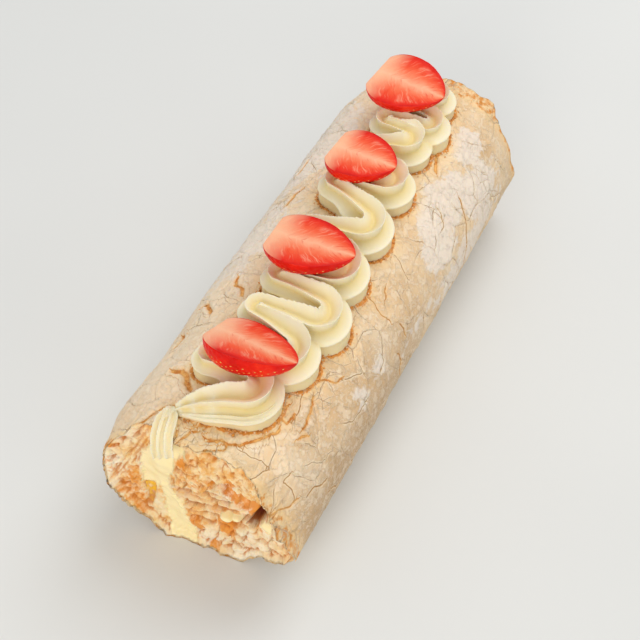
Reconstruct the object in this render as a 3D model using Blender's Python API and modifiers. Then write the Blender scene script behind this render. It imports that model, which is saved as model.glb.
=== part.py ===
"""A meringue roulade: a baked meringue sheet rolled round whipped cream, with a piped cream border on top
and four strawberry halves laid along it.

The roll lies along X with its broken end at -X, Z is up, and it rests on a flat strip at Z = 0.
Around the roll, angles run from the -Y side (0 degrees) over the top (90) to the +Y side (180).
Lengths are metres."""
import math

import bmesh
import bpy
from mathutils import Matrix, Vector, noise

MM = 0.001

# Driving dimensions of the roll
ROLL_LENGTH = 290 * MM
ROLL_WIDTH = 110.5 * MM
ROLL_HEIGHT = 84.7 * MM
BASE_SINK = 3 * MM
OUTLINE_POWER = 2.15
CORE_Y = -6 * MM
CORE_Z = 40 * MM
CORE_RADIUS = 1.5 * MM
SEAM_ANGLE = -10.0
SHEET_TURNS = 2.4
SHEET_TIP = 1.0 * MM
GAP = 0.35 * MM

# Resolution of the solids
SHARP_ANGLE = math.radians(35)
STEPS_PER_TURN = 60
ROLL_RINGS = 31
CREAM_RINGS = 6

# Piped border: a star rope that zigzags along the top. Its arms are given as shares of their way,
# and its turns as steps of a half circle.
RIDGES = 8
RIDGE_DEPTH = 0.36
LOBE_TURN = 6.2 * MM
ARM_RADIUS = 7.6 * MM
TAIL_RADIUS = 4.0 * MM
ROPE_LIFT = 0.6
START_LIFT = 3 * MM
DOWN_ARM = [0.0, 0.1, 0.25, 0.45, 0.65, 0.85, 1.0]
UP_ARM = [0.0, 0.25, 0.5, 0.75, 0.9, 1.0]
TURN_STEPS = 8
MELT_CELL = 0.8 * MM
BORDER_TRIANGLES = 5300
FIRST_SWING = 12 * MM
LOBE_OVERLAP = 0.8 * MM
# For each lobe, in millimetres: X and Y of its round turn's centre, the rope's radius there, Y where its arms end
LOBES = [(-112.5, -12, 13.2, 16), (-80.5, -17, 10, 25), (-56, -22, 9.8, 19), (-23.5, -16.5, 10.2, 20),
         (4.5, -18, 9.8, 19), (40.5, -17, 10.4, 20), (80, -11, 10.2, 22), (104, -7, 9.6, 21),
         (121, -5, 8.5, 18)]

# Strawberry halves: centre of the cut face, length, width, depth, lean about the length, turn about Z
BERRY_RINGS = 13
BERRY_SPINS = 10
BERRIES = {
    "strawberry_1": ((-90, -7, 105), 44, 38, 15, 18, -4),
    "strawberry_2": ((-21, -2.5, 105), 44, 39, 15, 8, 3),
    "strawberry_3": ((48, 1.5, 104), 36, 37, 14, 2, -3),
    "strawberry_4": ((109.5, 2.5, 106), 42, 41, 14, -4, -8),
}

# Dab of cream on the crust beside the border
DAB_CENTRE = (-139 * MM, 14.5 * MM)
DAB_LENGTH = 18 * MM
DAB_RADIUS = 5.5 * MM
DAB_TURN = 40.0


def clear_scene():
    for old in list(bpy.data.objects):
        bpy.data.objects.remove(old)


def make_collection(name):
    group = bpy.data.collections.new(name)
    bpy.context.scene.collection.children.link(group)
    return group


def make_material(name, colour, roughness):
    material = bpy.data.materials.new(name)
    material.use_nodes = True
    shader = material.node_tree.nodes["Principled BSDF"]
    shader.inputs["Base Color"].default_value = (*colour, 1.0)
    shader.inputs["Roughness"].default_value = roughness
    shader.inputs["Metallic"].default_value = 0.0
    return material


def finish_mesh(bm, name, group, material):
    """Turns a bmesh into a named object with outward faces."""
    bmesh.ops.recalc_face_normals(bm, faces=bm.faces)
    mesh = bpy.data.meshes.new(name)
    bm.to_mesh(mesh)
    bm.free()
    mesh.materials.append(material)
    piece = bpy.data.objects.new(name, mesh)
    group.objects.link(piece)
    return piece


def smoothstep(low, high, value):
    """Rises smoothly from 0 at low to 1 at high."""
    t = min(max((value - low) / (high - low), 0.0), 1.0)
    return t * t * (3.0 - 2.0 * t)


def along_knots(knots, value):
    """Reads a smooth curve through (position, height) knots."""
    for (p0, h0), (p1, h1) in zip(knots, knots[1:]):
        if value <= p1:
            return h0 + (h1 - h0) * smoothstep(p0, p1, value)
    return knots[-1][1]


def outline_reach(angle):
    """Distance from the core to the roll's outline at an angle in degrees."""
    toward_y = -math.cos(math.radians(angle))
    toward_z = math.sin(math.radians(angle))
    half_width = ROLL_WIDTH / 2
    half_height = (ROLL_HEIGHT + BASE_SINK) / 2
    centre_z = ROLL_HEIGHT - half_height
    low, high = 0.0, ROLL_WIDTH
    for _ in range(40):
        middle = (low + high) / 2
        y = CORE_Y + middle * toward_y
        z = CORE_Z + middle * toward_z
        fill = abs(y / half_width) ** OUTLINE_POWER + abs((z - centre_z) / half_height) ** OUTLINE_POWER
        if fill < 1.0 and z > 0.0:
            low = middle
        else:
            high = middle
    return low


def section_point(angle, depth, core=CORE_RADIUS):
    """The (y, z) place at a depth beneath the outline, never closer to the middle than the core."""
    reach = max(outline_reach(angle) - depth, core)
    y = CORE_Y - reach * math.cos(math.radians(angle))
    z = CORE_Z + reach * math.sin(math.radians(angle))
    return y, max(z, 0.0)


def turn_angle(turn):
    """Angle round the roll in degrees, after so many turns from the seam."""
    return SEAM_ANGLE + 360.0 * turn


def crust_depth(turn):
    """Depth of the sheet's crust side beneath the outline, in metres, after so many turns from the seam."""
    knots = [(0.0, 0), (0.93, 0), (1.0, 3.4), (1.06, 10.5), (1.14, 23), (1.22, 25), (1.32, 21), (1.53, 32),
             (1.78, 21), (1.94, 28), (2.06, 34), (2.14, 37), (2.24, 40), (2.39, 60)]
    return along_knots(knots, turn) * MM


def sheet_thickness(turn):
    """Thickness of the baked sheet in metres. It fills the middle of the coil."""
    knots = [(0.0, 2.5), (0.06, 9), (0.17, 14), (0.26, 14), (0.36, 11), (0.5, 17), (0.62, 14), (0.78, 9),
             (1.06, 10), (1.14, 12), (1.53, 14), (1.78, 11), (1.9, 13), (2.0, 40), (2.4, 40)]
    return along_knots(knots, turn) * MM


def near_rim(turn):
    """X of the broken near end of the sheet."""
    angle = turn_angle(turn)
    wrap = [(-10, -146), (5, -149), (20, -149), (38, -146), (50, -145), (66, -139), (80, -140), (97, -143),
            (112, -142), (128, -137), (141, -137), (157, -143), (200, -146), (275, -144), (310, -140),
            (350, -144)]
    if turn < 1.0:
        x = along_knots(wrap, angle)
    else:
        x = -143.0 + 3.0 * math.sin(math.radians(angle * 1.7))
    jag = noise.noise(Vector((turn * 19.0, 3.7, 0.0))) * 2.2
    jag += noise.noise(Vector((turn * 47.0, 8.1, 0.0))) * 1.4
    return (x + jag) * MM


def far_rim(turn):
    """X of the broken far end of the sheet."""
    angle = turn_angle(turn)
    wrap = [(-10, 143), (30, 141), (42, 144), (52, 148), (80, 148), (105, 146), (128, 146), (154, 138),
            (172, 143), (350, 143)]
    x = along_knots(wrap, angle) if turn < 1.0 else 141.0
    jag = noise.noise(Vector((turn * 17.0, 5.3, 9.0))) * 3.0
    jag += noise.noise(Vector((turn * 41.0, 2.1, 9.0))) * 1.6
    return (x + jag) * MM


def crust_relief(turn, x):
    """How far the crust of the outer wrap stands in (+) or out (-), as swells and tilted crust plates."""
    angle = turn_angle(turn)
    fade = smoothstep(0.0, 0.05, turn) * (1.0 - smoothstep(0.90, 0.97, turn))
    around = math.radians(angle) * 50.0
    along = x / MM
    swell = noise.noise(Vector((along / 55.0, around / 45.0, 1.0))) * 1.7
    near_distances, near_points = noise.voronoi(Vector((along / 24.0, around / 20.0, 0.5)))
    plate = noise.cell(near_points[0] * 7.3) * 1.5
    crack = 0.9 * (1.0 - smoothstep(0.0, 0.18, near_distances[1] - near_distances[0]))
    taper = 4.0 * (1.0 - smoothstep(-146.0, -122.0, along)) + 4.0 * smoothstep(120.0, 146.0, along)
    relief = swell + plate - 0.2 + crack + taper
    on_base = smoothstep(225.0, 237.0, angle) * (1.0 - smoothstep(290.0, 302.0, angle))
    relief *= 1.0 - on_base
    under_border = smoothstep(40.0, 54.0, angle) * (1.0 - smoothstep(134.0, 148.0, angle))
    relief = relief * (1.0 - under_border) + 0.35 * abs(plate) * under_border
    return relief * fade * MM


def build_strip(name, turns, rings, outer_place, inner_place, group, material):
    """A rolled layer: a grid over (turn, way along the roll), extruded to its inner side."""
    bm = bmesh.new()
    turn_layer = bm.verts.layers.float.new("turn")
    way_layer = bm.verts.layers.float.new("way")
    bmesh.ops.create_grid(bm, x_segments=len(turns) - 1, y_segments=rings, size=1.0)
    for vert in bm.verts:
        column = round((vert.co.x + 1.0) / 2.0 * (len(turns) - 1))
        vert[turn_layer] = turns[column]
        vert[way_layer] = (vert.co.y + 1.0) / 2.0
    skin = bmesh.ops.extrude_face_region(bm, geom=list(bm.faces))
    inner_verts = {item for item in skin["geom"] if isinstance(item, bmesh.types.BMVert)}
    for vert in bm.verts:
        place = inner_place if vert in inner_verts else outer_place
        vert.co = place(vert[turn_layer], vert[way_layer])
    bmesh.ops.recalc_face_normals(bm, faces=bm.faces)
    bmesh.ops.dissolve_limit(bm, angle_limit=math.radians(0.15), verts=bm.verts, edges=bm.edges)
    return finish_mesh(bm, name, group, material)


def turn_samples(low, high):
    """Turns at whole steps, so that a layer and its neighbour a turn further in share their angles."""
    first = round(low * STEPS_PER_TURN)
    last = round(high * STEPS_PER_TURN)
    return [step / STEPS_PER_TURN for step in range(first, last + 1)]


def build_sheet(group, material):
    """The baked sheet, coiled from the seam on the outside to its tip in the middle."""
    def outer_place(turn, way):
        x = near_rim(turn) + (far_rim(turn) - near_rim(turn)) * way
        relief = crust_relief(turn, x) if turn < 1.0 else 0.0
        y, z = section_point(turn_angle(turn), crust_depth(turn) + relief, CORE_RADIUS + SHEET_TIP)
        return Vector((x, y, z))

    def inner_place(turn, way):
        x = near_rim(turn) + (far_rim(turn) - near_rim(turn)) * way
        y, z = section_point(turn_angle(turn), crust_depth(turn) + sheet_thickness(turn))
        return Vector((x, y, z))

    turns = turn_samples(0.0, SHEET_TURNS)
    return build_strip("meringue_sheet", turns, ROLL_RINGS, outer_place, inner_place, group, material)


def build_cream(group, material):
    """The cream between the wraps, with a hollow under the flap of the near end."""
    first, last = 0.083, 1.9
    hollow_low, hollow_high, hollow_edge, hollow_depth = 0.12, 0.265, 0.02, 26.0

    def cream_near(turn):
        hollow = smoothstep(hollow_low - hollow_edge, hollow_low, turn)
        hollow *= 1 - smoothstep(hollow_high, hollow_high + hollow_edge, turn)
        uneven = noise.noise(Vector((turn * 11.0, 6.6, 4.0))) * 3.0
        return (-142.0 + uneven + hollow_depth * hollow) * MM

    def cream_far(turn):
        return (139.0 + noise.noise(Vector((turn * 9.0, 1.6, 7.0))) * 3.0) * MM

    def outer_place(turn, way):
        x = cream_near(turn) + (cream_far(turn) - cream_near(turn)) * way
        y, z = section_point(turn_angle(turn), crust_depth(turn) + sheet_thickness(turn) + GAP)
        return Vector((x, y, z))

    def inner_place(turn, way):
        x = cream_near(turn) + (cream_far(turn) - cream_near(turn)) * way
        y, z = section_point(turn_angle(turn), crust_depth(turn + 1.0) - GAP, CORE_RADIUS + SHEET_TIP + GAP)
        return Vector((x, y, z))

    turns = turn_samples(first, last)
    return build_strip("cream_filling", turns, CREAM_RINGS, outer_place, inner_place, group, material)


def star_curve(group):
    """The piping nozzle's star outline, of unit outer radius."""
    curve = bpy.data.curves.new("nozzle_star", "CURVE")
    curve.dimensions = "2D"
    spline = curve.splines.new("POLY")
    spline.points.add(2 * RIDGES - 1)
    for index in range(2 * RIDGES):
        angle = math.pi * index / RIDGES + math.pi / 2
        radius = 1.0 if index % 2 == 0 else 1.0 - RIDGE_DEPTH
        spline.points[index].co = (radius * math.cos(angle), radius * math.sin(angle), 0.0, 1.0)
    spline.use_cyclic_u = True
    star = bpy.data.objects.new("nozzle_star", curve)
    group.objects.link(star)
    star.hide_render = True
    star.display_type = "WIRE"
    return star


def surface_z(y):
    """Height of the roll's outline above Z = 0 at a place across it."""
    half_height = (ROLL_HEIGHT + BASE_SINK) / 2
    fill = max(1.0 - abs(2 * y / ROLL_WIDTH) ** OUTLINE_POWER, 0.0)
    return ROLL_HEIGHT - half_height + half_height * fill ** (1 / OUTLINE_POWER)


def lobe_path(centre_x, centre_y, lobe_radius, top_y, swing):
    """Points and radii of one U-shaped lobe: a slanting arm down, a round turn and an arm up."""
    path = []
    for way in DOWN_ARM:
        x = centre_x - LOBE_TURN - swing * (1 - way) ** 1.3
        y = top_y + (centre_y - top_y) * way
        rope = TAIL_RADIUS + (ARM_RADIUS - TAIL_RADIUS) * smoothstep(0.0, 0.35, way)
        rope += (lobe_radius - ARM_RADIUS) * smoothstep(0.3, 1.0, way)
        path.append((x, y, rope, 1.0 - smoothstep(0.25, 1.0, way)))
    for step in range(1, TURN_STEPS):
        angle = math.pi * step / TURN_STEPS
        x = centre_x - LOBE_TURN * math.cos(angle)
        y = centre_y - LOBE_TURN * math.sin(angle)
        path.append((x, y, lobe_radius, 0.0))
    for way in UP_ARM:
        y = centre_y + (top_y - centre_y) * way
        rope = lobe_radius + (ARM_RADIUS - lobe_radius) * smoothstep(0.0, 0.6, way)
        rope -= (ARM_RADIUS - TAIL_RADIUS) * smoothstep(0.7, 1.0, way)
        path.append((centre_x + LOBE_TURN, y, rope, 0.0))
    lifted = []
    for x, y, rope, start in path:
        lift = rope * ROPE_LIFT + START_LIFT * start
        lifted.append((Vector((x, y, surface_z(y) + lift)), rope))
    return lifted


def rope_mesh(name, path, star, group, material):
    """Sweeps the star along a path, then welds the swept curve into one closed mesh."""
    curve = bpy.data.curves.new(name, "CURVE")
    curve.dimensions = "3D"
    curve.twist_mode = "Z_UP"
    curve.bevel_mode = "OBJECT"
    curve.bevel_object = star
    curve.use_fill_caps = True
    spline = curve.splines.new("POLY")
    spline.points.add(len(path) - 1)
    for point, (place, radius) in zip(spline.points, path):
        point.co = (*place, 1.0)
        point.radius = radius
    rope = bpy.data.objects.new(name, curve)
    group.objects.link(rope)
    bpy.context.view_layer.update()
    evaluated = rope.evaluated_get(bpy.context.evaluated_depsgraph_get())
    bm = bmesh.new()
    bm.from_mesh(bpy.data.meshes.new_from_object(evaluated))
    bpy.data.objects.remove(rope)
    bmesh.ops.remove_doubles(bm, verts=bm.verts, dist=0.01 * MM)
    return finish_mesh(bm, name, group, material)


def apply_modifiers(piece):
    """Makes what the modifiers show the object's own mesh."""
    bpy.context.view_layer.update()
    evaluated = piece.evaluated_get(bpy.context.evaluated_depsgraph_get())
    result = bpy.data.meshes.new_from_object(evaluated)
    piece.modifiers.clear()
    piece.data = result


def melt_together(base, others):
    """Makes one skin of overlapping meshes, in small cells first and then in few triangles."""
    bm = bmesh.new()
    for piece in [base, *others.objects]:
        bm.from_mesh(piece.data)
    bm.to_mesh(base.data)
    bm.free()
    for other in list(others.objects):
        bpy.data.objects.remove(other)
    cells = base.modifiers.new("cells", "REMESH")
    cells.mode = "VOXEL"
    cells.voxel_size = MELT_CELL
    apply_modifiers(base)
    fewer = base.modifiers.new("fewer", "DECIMATE")
    fewer.ratio = BORDER_TRIANGLES / sum(len(face.vertices) - 2 for face in base.data.polygons)
    apply_modifiers(base)


def combine(base, others, operation):
    """Joins or cuts a mesh object with a collection of others, and applies the result."""
    modifier = base.modifiers.new(operation.lower(), "BOOLEAN")
    modifier.operation = operation
    modifier.operand_type = "COLLECTION"
    modifier.collection = others
    modifier.solver = "MANIFOLD"
    apply_modifiers(base)
    for other in list(others.objects):
        bpy.data.objects.remove(other)


def keep_largest_body(piece):
    """Drops loose scraps that a cut leaves."""
    bm = bmesh.new()
    bm.from_mesh(piece.data)
    unseen = set(bm.verts)
    bodies = []
    while unseen:
        body = set()
        queue = [unseen.pop()]
        while queue:
            vert = queue.pop()
            body.add(vert)
            for edge in vert.link_edges:
                other = edge.other_vert(vert)
                if other in unseen:
                    unseen.remove(other)
                    queue.append(other)
        bodies.append(body)
    bodies.sort(key=len)
    for body in bodies[:-1]:
        bmesh.ops.delete(bm, geom=list(body), context="VERTS")
    bm.to_mesh(piece.data)
    bm.free()


def roll_cutter(group, material):
    """The roll's smooth outline, a little fat, which trims what lies on the crust."""
    bm = bmesh.new()
    steps = 90
    verts = []
    for step in range(steps):
        y, z = section_point(360.0 * step / steps, -GAP)
        verts.append(bm.verts.new((-ROLL_LENGTH, y, z)))
    face = bm.faces.new(verts)
    walls = bmesh.ops.extrude_face_region(bm, geom=[face])
    moved = [item for item in walls["geom"] if isinstance(item, bmesh.types.BMVert)]
    bmesh.ops.translate(bm, verts=moved, vec=(2 * ROLL_LENGTH, 0.0, 0.0))
    return finish_mesh(bm, "roll_cutter", group, material)


def berry_radius(way):
    """Share of the half width at a way from the cut-off top (0) to the tip (1)."""
    blunt_top = 0.045
    t = blunt_top + (1 - blunt_top) * way
    peak = 0.36 ** 0.36 * 0.64 ** 0.64
    return t ** 0.36 * (1 - t) ** 0.64 / peak


def build_berry(name, spec, swell, group, material):
    """Half a strawberry: its profile spun half round, closed by the flat cut face."""
    (x, y, z), length, width, depth, lean, turn = spec
    bm = bmesh.new()
    profile = [bm.verts.new((0.0, 0.5, 0.0))]
    for ring in range(BERRY_RINGS + 1):
        way = (1 - math.cos(math.pi * ring / BERRY_RINGS)) / 2
        radius = berry_radius(way) if ring < BERRY_RINGS else 0.0
        profile.append(bm.verts.new((radius / 2, 0.5 - way, 0.0)))
    edges = [bm.edges.new(pair) for pair in zip(profile, profile[1:])]
    bmesh.ops.spin(bm, geom=profile + edges, cent=(0, 0, 0), axis=(0, 1, 0), angle=math.pi,
                   steps=BERRY_SPINS, use_merge=False)
    bmesh.ops.remove_doubles(bm, verts=bm.verts, dist=1e-6)
    open_edges = [edge for edge in bm.edges if edge.is_boundary]
    bmesh.ops.contextual_create(bm, geom=open_edges)
    for vert in bm.verts:
        below = vert.co.z < -1e-6
        if below:
            bump = 1.0 + 0.05 * noise.noise(vert.co * 5.0 + Vector((x, y, z)) * 0.1)
            vert.co.z *= bump
        vert.co = Vector((vert.co.x * width, vert.co.y * length, vert.co.z * depth * 2)) * MM
    bmesh.ops.recalc_face_normals(bm, faces=bm.faces)
    bm.normal_update()
    if swell:
        moves = [(vert, vert.normal * swell * 1.3) for vert in bm.verts]
        for vert, move in moves:
            vert.co += move
    place = Matrix.Translation(Vector((x, y, z)) * MM)
    place @= Matrix.Rotation(math.radians(turn), 4, "Z") @ Matrix.Rotation(math.radians(lean), 4, "Y")
    bmesh.ops.transform(bm, matrix=place, verts=bm.verts)
    return finish_mesh(bm, name, group, material)


def build_border(star, joined, cutters, group, material):
    """The piped border: nine overlapping lobes joined into one rope, trimmed to the crust and the berries."""
    base = None
    for index, lobe_sizes in enumerate(LOBES):
        x, y, radius, top_y = [size * MM for size in lobe_sizes]
        swing = x - LOBES[index - 1][0] * MM - 2 * LOBE_TURN + LOBE_OVERLAP if index else FIRST_SWING
        lobe_group = joined if index else group
        name = "lobe" if index else "piped_cream"
        lobe = rope_mesh(name, lobe_path(x, y, radius, top_y, swing), star, lobe_group, material)
        base = base or lobe
    melt_together(base, joined)
    roll_cutter(cutters, material)
    for name, spec in BERRIES.items():
        build_berry(name + "_seat", spec, GAP, cutters, material)
    combine(base, cutters, "DIFFERENCE")
    keep_largest_body(base)
    return base


def build_dab(star, cutters, group, material):
    """A short dragged dab of cream on the crust near the broken end."""
    path = []
    steps = 6
    heading = Vector((math.cos(math.radians(DAB_TURN)), math.sin(math.radians(DAB_TURN))))
    for step in range(steps + 1):
        t = step / steps
        x = DAB_CENTRE[0] + heading.x * DAB_LENGTH * (t - 0.5)
        y = DAB_CENTRE[1] + heading.y * DAB_LENGTH * (t - 0.5)
        radius = DAB_RADIUS * (0.25 + 0.75 * math.sin(math.pi * (0.12 + 0.8 * t)))
        path.append((Vector((x, y, surface_z(y) + 0.15 * radius)), radius))
    dab = rope_mesh("cream_dab", path, star, group, material)
    roll_cutter(cutters, material)
    combine(dab, cutters, "DIFFERENCE")
    keep_largest_body(dab)
    return dab


def centre_on_box(pieces):
    """Moves every piece so that the whole stands centred on the origin, at Z = 0."""
    corners = [vert.co for piece in pieces for vert in piece.data.vertices]
    low = [min(corner[axis] for corner in corners) for axis in range(3)]
    high = [max(corner[axis] for corner in corners) for axis in range(3)]
    shift = Vector((-(low[0] + high[0]) / 2, -(low[1] + high[1]) / 2, -low[2]))
    for piece in pieces:
        piece.data.transform(Matrix.Translation(shift))
    return shift


def main():
    clear_scene()
    group = make_collection("meringue_roulade")
    joined = make_collection("joined_lobes")
    cutters = make_collection("cutters")
    crust = make_material("baked_meringue", (0.79, 0.60, 0.42), 0.85)
    filling = make_material("filling_cream", (0.90, 0.83, 0.56), 0.35)
    cream = make_material("whipped_cream", (0.90, 0.83, 0.56), 0.45)
    berry = make_material("strawberry_flesh", (0.80, 0.05, 0.02), 0.35)
    pieces = [build_sheet(group, crust), build_cream(group, filling)]
    star = star_curve(cutters)
    cutters.objects.unlink(star)
    pieces.append(build_border(star, joined, cutters, group, cream))
    pieces.append(build_dab(star, cutters, group, cream))
    for name, spec in BERRIES.items():
        pieces.append(build_berry(name, spec, 0.0, group, berry))
    bpy.data.objects.remove(star)
    shift = centre_on_box(pieces)
    for piece in pieces:
        piece.data.shade_smooth()
        piece.data.set_sharp_from_angle(angle=SHARP_ANGLE)
        triangles = sum(len(face.vertices) - 2 for face in piece.data.polygons)
        print(piece.name, triangles, "triangles")
    print("shift", tuple(round(value / MM, 2) for value in shift))


main()
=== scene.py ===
# %% [markdown]
# # A meringue roulade
# The object is a sheet of meringue, baked until its skin is dry, turned over, spread with whipped cream
# and rolled up. A zigzag of cream is piped along the top and strawberry halves lie on it. The near end is
# torn, so the coil, the soft crumb and the cream show there.
#
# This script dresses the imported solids. It keeps their frame: metres, the roll along X, the torn end at -X,
# Z up. Most sizes below are written in millimetres and multiplied by MM.

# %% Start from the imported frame
import math
import random

import bmesh
import bpy
import numpy as np
from mathutils import Matrix, Vector, kdtree, noise


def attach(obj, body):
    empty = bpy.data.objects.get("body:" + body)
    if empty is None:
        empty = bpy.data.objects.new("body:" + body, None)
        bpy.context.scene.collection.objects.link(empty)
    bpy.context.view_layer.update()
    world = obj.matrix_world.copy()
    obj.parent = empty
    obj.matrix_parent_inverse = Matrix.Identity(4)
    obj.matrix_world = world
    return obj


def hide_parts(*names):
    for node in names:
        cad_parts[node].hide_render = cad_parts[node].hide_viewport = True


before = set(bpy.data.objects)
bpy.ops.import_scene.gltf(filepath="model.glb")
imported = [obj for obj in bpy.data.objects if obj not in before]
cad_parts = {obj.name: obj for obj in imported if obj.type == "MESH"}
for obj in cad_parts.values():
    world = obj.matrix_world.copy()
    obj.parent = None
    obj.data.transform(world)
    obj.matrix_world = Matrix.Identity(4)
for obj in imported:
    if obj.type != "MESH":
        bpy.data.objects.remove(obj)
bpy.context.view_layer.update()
MM = 0.001


print("solids:", sorted(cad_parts))

# %% [markdown]
# ## Camera
# The photograph looks down at about 50 degrees along the roll from its torn end, a little from its right
# flank. The camera stands at that angle and distance. A camera looks along its own -Z with +Y up, so its
# matrix has the picture's right, the picture's up and the backward direction as columns.

# %% Camera
IMAGE_SIDE = 640
ROLL_LENGTH = 290 * MM
CENTRING = Vector((0.75, -0.26, 0.0)) * MM
VIEW_DOWN = math.radians(50)
VIEW_HEADING = math.radians(26.09)
FOCAL_PIXELS = 1311.24
VIEW_DISTANCE = 2.5443 * ROLL_LENGTH
VIEW_RIGHT = -0.0134 * ROLL_LENGTH
VIEW_UP = 0.0503 * ROLL_LENGTH


def add_camera():
    """A camera at the photograph's viewing angle."""
    ahead = Vector((math.cos(VIEW_HEADING), math.sin(VIEW_HEADING), 0.0))
    right = Vector((math.sin(VIEW_HEADING), -math.cos(VIEW_HEADING), 0.0))
    look = math.cos(VIEW_DOWN) * ahead - math.sin(VIEW_DOWN) * Vector((0.0, 0.0, 1.0))
    up = math.sin(VIEW_DOWN) * ahead + math.cos(VIEW_DOWN) * Vector((0.0, 0.0, 1.0))
    camera_data = bpy.data.cameras.new("camera")
    camera_data.angle = 2.0 * math.atan(IMAGE_SIDE / 2 / FOCAL_PIXELS)
    camera = bpy.data.objects.new("camera", camera_data)
    bpy.context.scene.collection.objects.link(camera)
    matrix = Matrix((right, up, -look)).transposed().to_4x4()
    matrix.translation = CENTRING - look * VIEW_DISTANCE + right * VIEW_RIGHT + up * VIEW_UP
    camera.matrix_world = matrix
    bpy.context.scene.camera = camera
    return camera


camera = add_camera()
print("camera at", [round(value, 3) for value in camera.matrix_world.translation])

# %% [markdown]
# ## Small helpers
# Every material is a tree of nodes. One function adds a node, sets its options and fills its inputs, and an
# input takes a number, a colour, another node or one of its outputs. Tones are laid over one another in the
# order of a list. Colours are written as on a screen (sRGB) and turned to the linear values that Blender
# works in.

# %% Colours and nodes
def colour(code):
    """Turns an sRGB hex colour into linear red, green, blue and an alpha of 1."""
    channels = [int(code[start:start + 2], 16) / 255 for start in (0, 2, 4)]
    linear = [c / 12.92 if c <= 0.04045 else ((c + 0.055) / 1.055) ** 2.4 for c in channels]
    return (*linear, 1.0)


def add(tree, kind, inputs=None, stops=None, **settings):
    """Adds a node of a kind, which is a shader's unless it says Node itself. inputs fills its sockets by name
    or number, where a node stands for its first output in use. stops fills a colour ramp."""
    new = tree.nodes.new(kind if "Node" in kind else "ShaderNode" + kind)
    for name, value in settings.items():
        setattr(new, name, value)
    for key, value in (inputs or {}).items():
        if isinstance(value, bpy.types.Node):
            value = next(output for output in value.outputs if output.enabled)
        if isinstance(value, bpy.types.NodeSocket):
            tree.links.new(value, new.inputs[key])
        else:
            new.inputs[key].default_value = value
    if stops:
        while len(new.color_ramp.elements) < len(stops):
            new.color_ramp.elements.new(0.5)
        for element, (position, code) in zip(new.color_ramp.elements, stops):
            element.position = position
            element.color = colour(code)
    return new


def new_material(name):
    """An empty material, its tree, and places on the object for its patterns."""
    material = bpy.data.materials.new(name)
    material.use_nodes = True
    material.node_tree.nodes.clear()
    return material, material.node_tree, add(material.node_tree, "TexCoord").outputs["Object"]


# %% [markdown]
# Curves through a few heights describe what changes along the roll or round it. smoothstep eases from 0 to
# 1, and along_knots strings such steps together.

# %% Easing
def smoothstep(low, high, value):
    """Rises smoothly from 0 at low to 1 at high."""
    t = min(max((value - low) / (high - low), 0.0), 1.0)
    return t * t * (3.0 - 2.0 * t)


def along_knots(knots, value):
    """Reads a smooth curve through (position, height) knots."""
    for (p0, h0), (p1, h1) in zip(knots, knots[1:]):
        if value <= p1:
            return h0 + (h1 - h0) * smoothstep(p0, p1, value)
    return knots[-1][1]


# %% [markdown]
# ## The roll's section
# The roll's outline is a squarish oval, a superellipse, cut flat where it rests. Places in the section are
# given by an angle round the core and a depth beneath the outline, as in the solids, so the dressed sheet
# lies where the solid one does. The sheet starts at the seam low on the right flank and winds inwards.

# %% The roll's section
ROLL_WIDTH = 110.5 * MM
ROLL_HEIGHT = 84.7 * MM
BASE_SINK = 3 * MM
OUTLINE_POWER = 2.15
CORE_Y = -6 * MM
CORE_Z = 40 * MM
CORE_RADIUS = 1.5 * MM
SEAM_ANGLE = -10.0
SHEET_TURNS = 2.4
SHEET_TIP = 1.0 * MM
GAP = 0.35 * MM
TORN_BACK = -116.0 * MM
BISECTIONS = 40
reach_table = {}


def outline_reach(angle):
    """Distance from the core to the roll's outline at an angle in degrees."""
    key = round(angle % 360.0, 3)
    if key in reach_table:
        return reach_table[key]
    toward_y = -math.cos(math.radians(angle))
    toward_z = math.sin(math.radians(angle))
    half_width = ROLL_WIDTH / 2
    half_height = (ROLL_HEIGHT + BASE_SINK) / 2
    centre_z = ROLL_HEIGHT - half_height
    low, high = 0.0, ROLL_WIDTH
    for _ in range(BISECTIONS):
        middle = (low + high) / 2
        y = CORE_Y + middle * toward_y
        z = CORE_Z + middle * toward_z
        fill = abs(y / half_width) ** OUTLINE_POWER + abs((z - centre_z) / half_height) ** OUTLINE_POWER
        if fill < 1.0 and z > 0.0:
            low = middle
        else:
            high = middle
    reach_table[key] = low
    return low


def roll_point(x, angle, depth, core=CORE_RADIUS):
    """A place in the roll: x along it, an angle round the core and a depth beneath the outline."""
    reach = max(outline_reach(angle) - depth, core)
    y = CORE_Y - reach * math.cos(math.radians(angle))
    z = CORE_Z + reach * math.sin(math.radians(angle))
    return Vector((x, y, max(z, 0.0))) + CENTRING


def turn_angle(turn):
    """Angle round the roll in degrees, after so many turns from the seam."""
    return SEAM_ANGLE + 360.0 * turn


def crust_depth(turn):
    """Depth of the sheet's crust side beneath the outline."""
    knots = [(0.0, 0), (0.93, 0), (1.0, 3.4), (1.06, 10.5), (1.14, 23), (1.22, 25), (1.32, 21), (1.53, 32),
             (1.78, 21), (1.94, 28), (2.06, 34), (2.14, 37), (2.24, 40), (2.39, 60)]
    return along_knots(knots, turn) * MM


def sheet_thickness(turn):
    """Thickness of the baked sheet. It fills the middle of the coil."""
    knots = [(0.0, 2.5), (0.06, 9), (0.17, 14), (0.26, 14), (0.36, 11), (0.5, 17), (0.62, 14), (0.78, 9),
             (1.06, 10), (1.14, 12), (1.53, 14), (1.78, 11), (1.9, 13), (2.0, 40), (2.4, 40)]
    return along_knots(knots, turn) * MM


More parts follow.
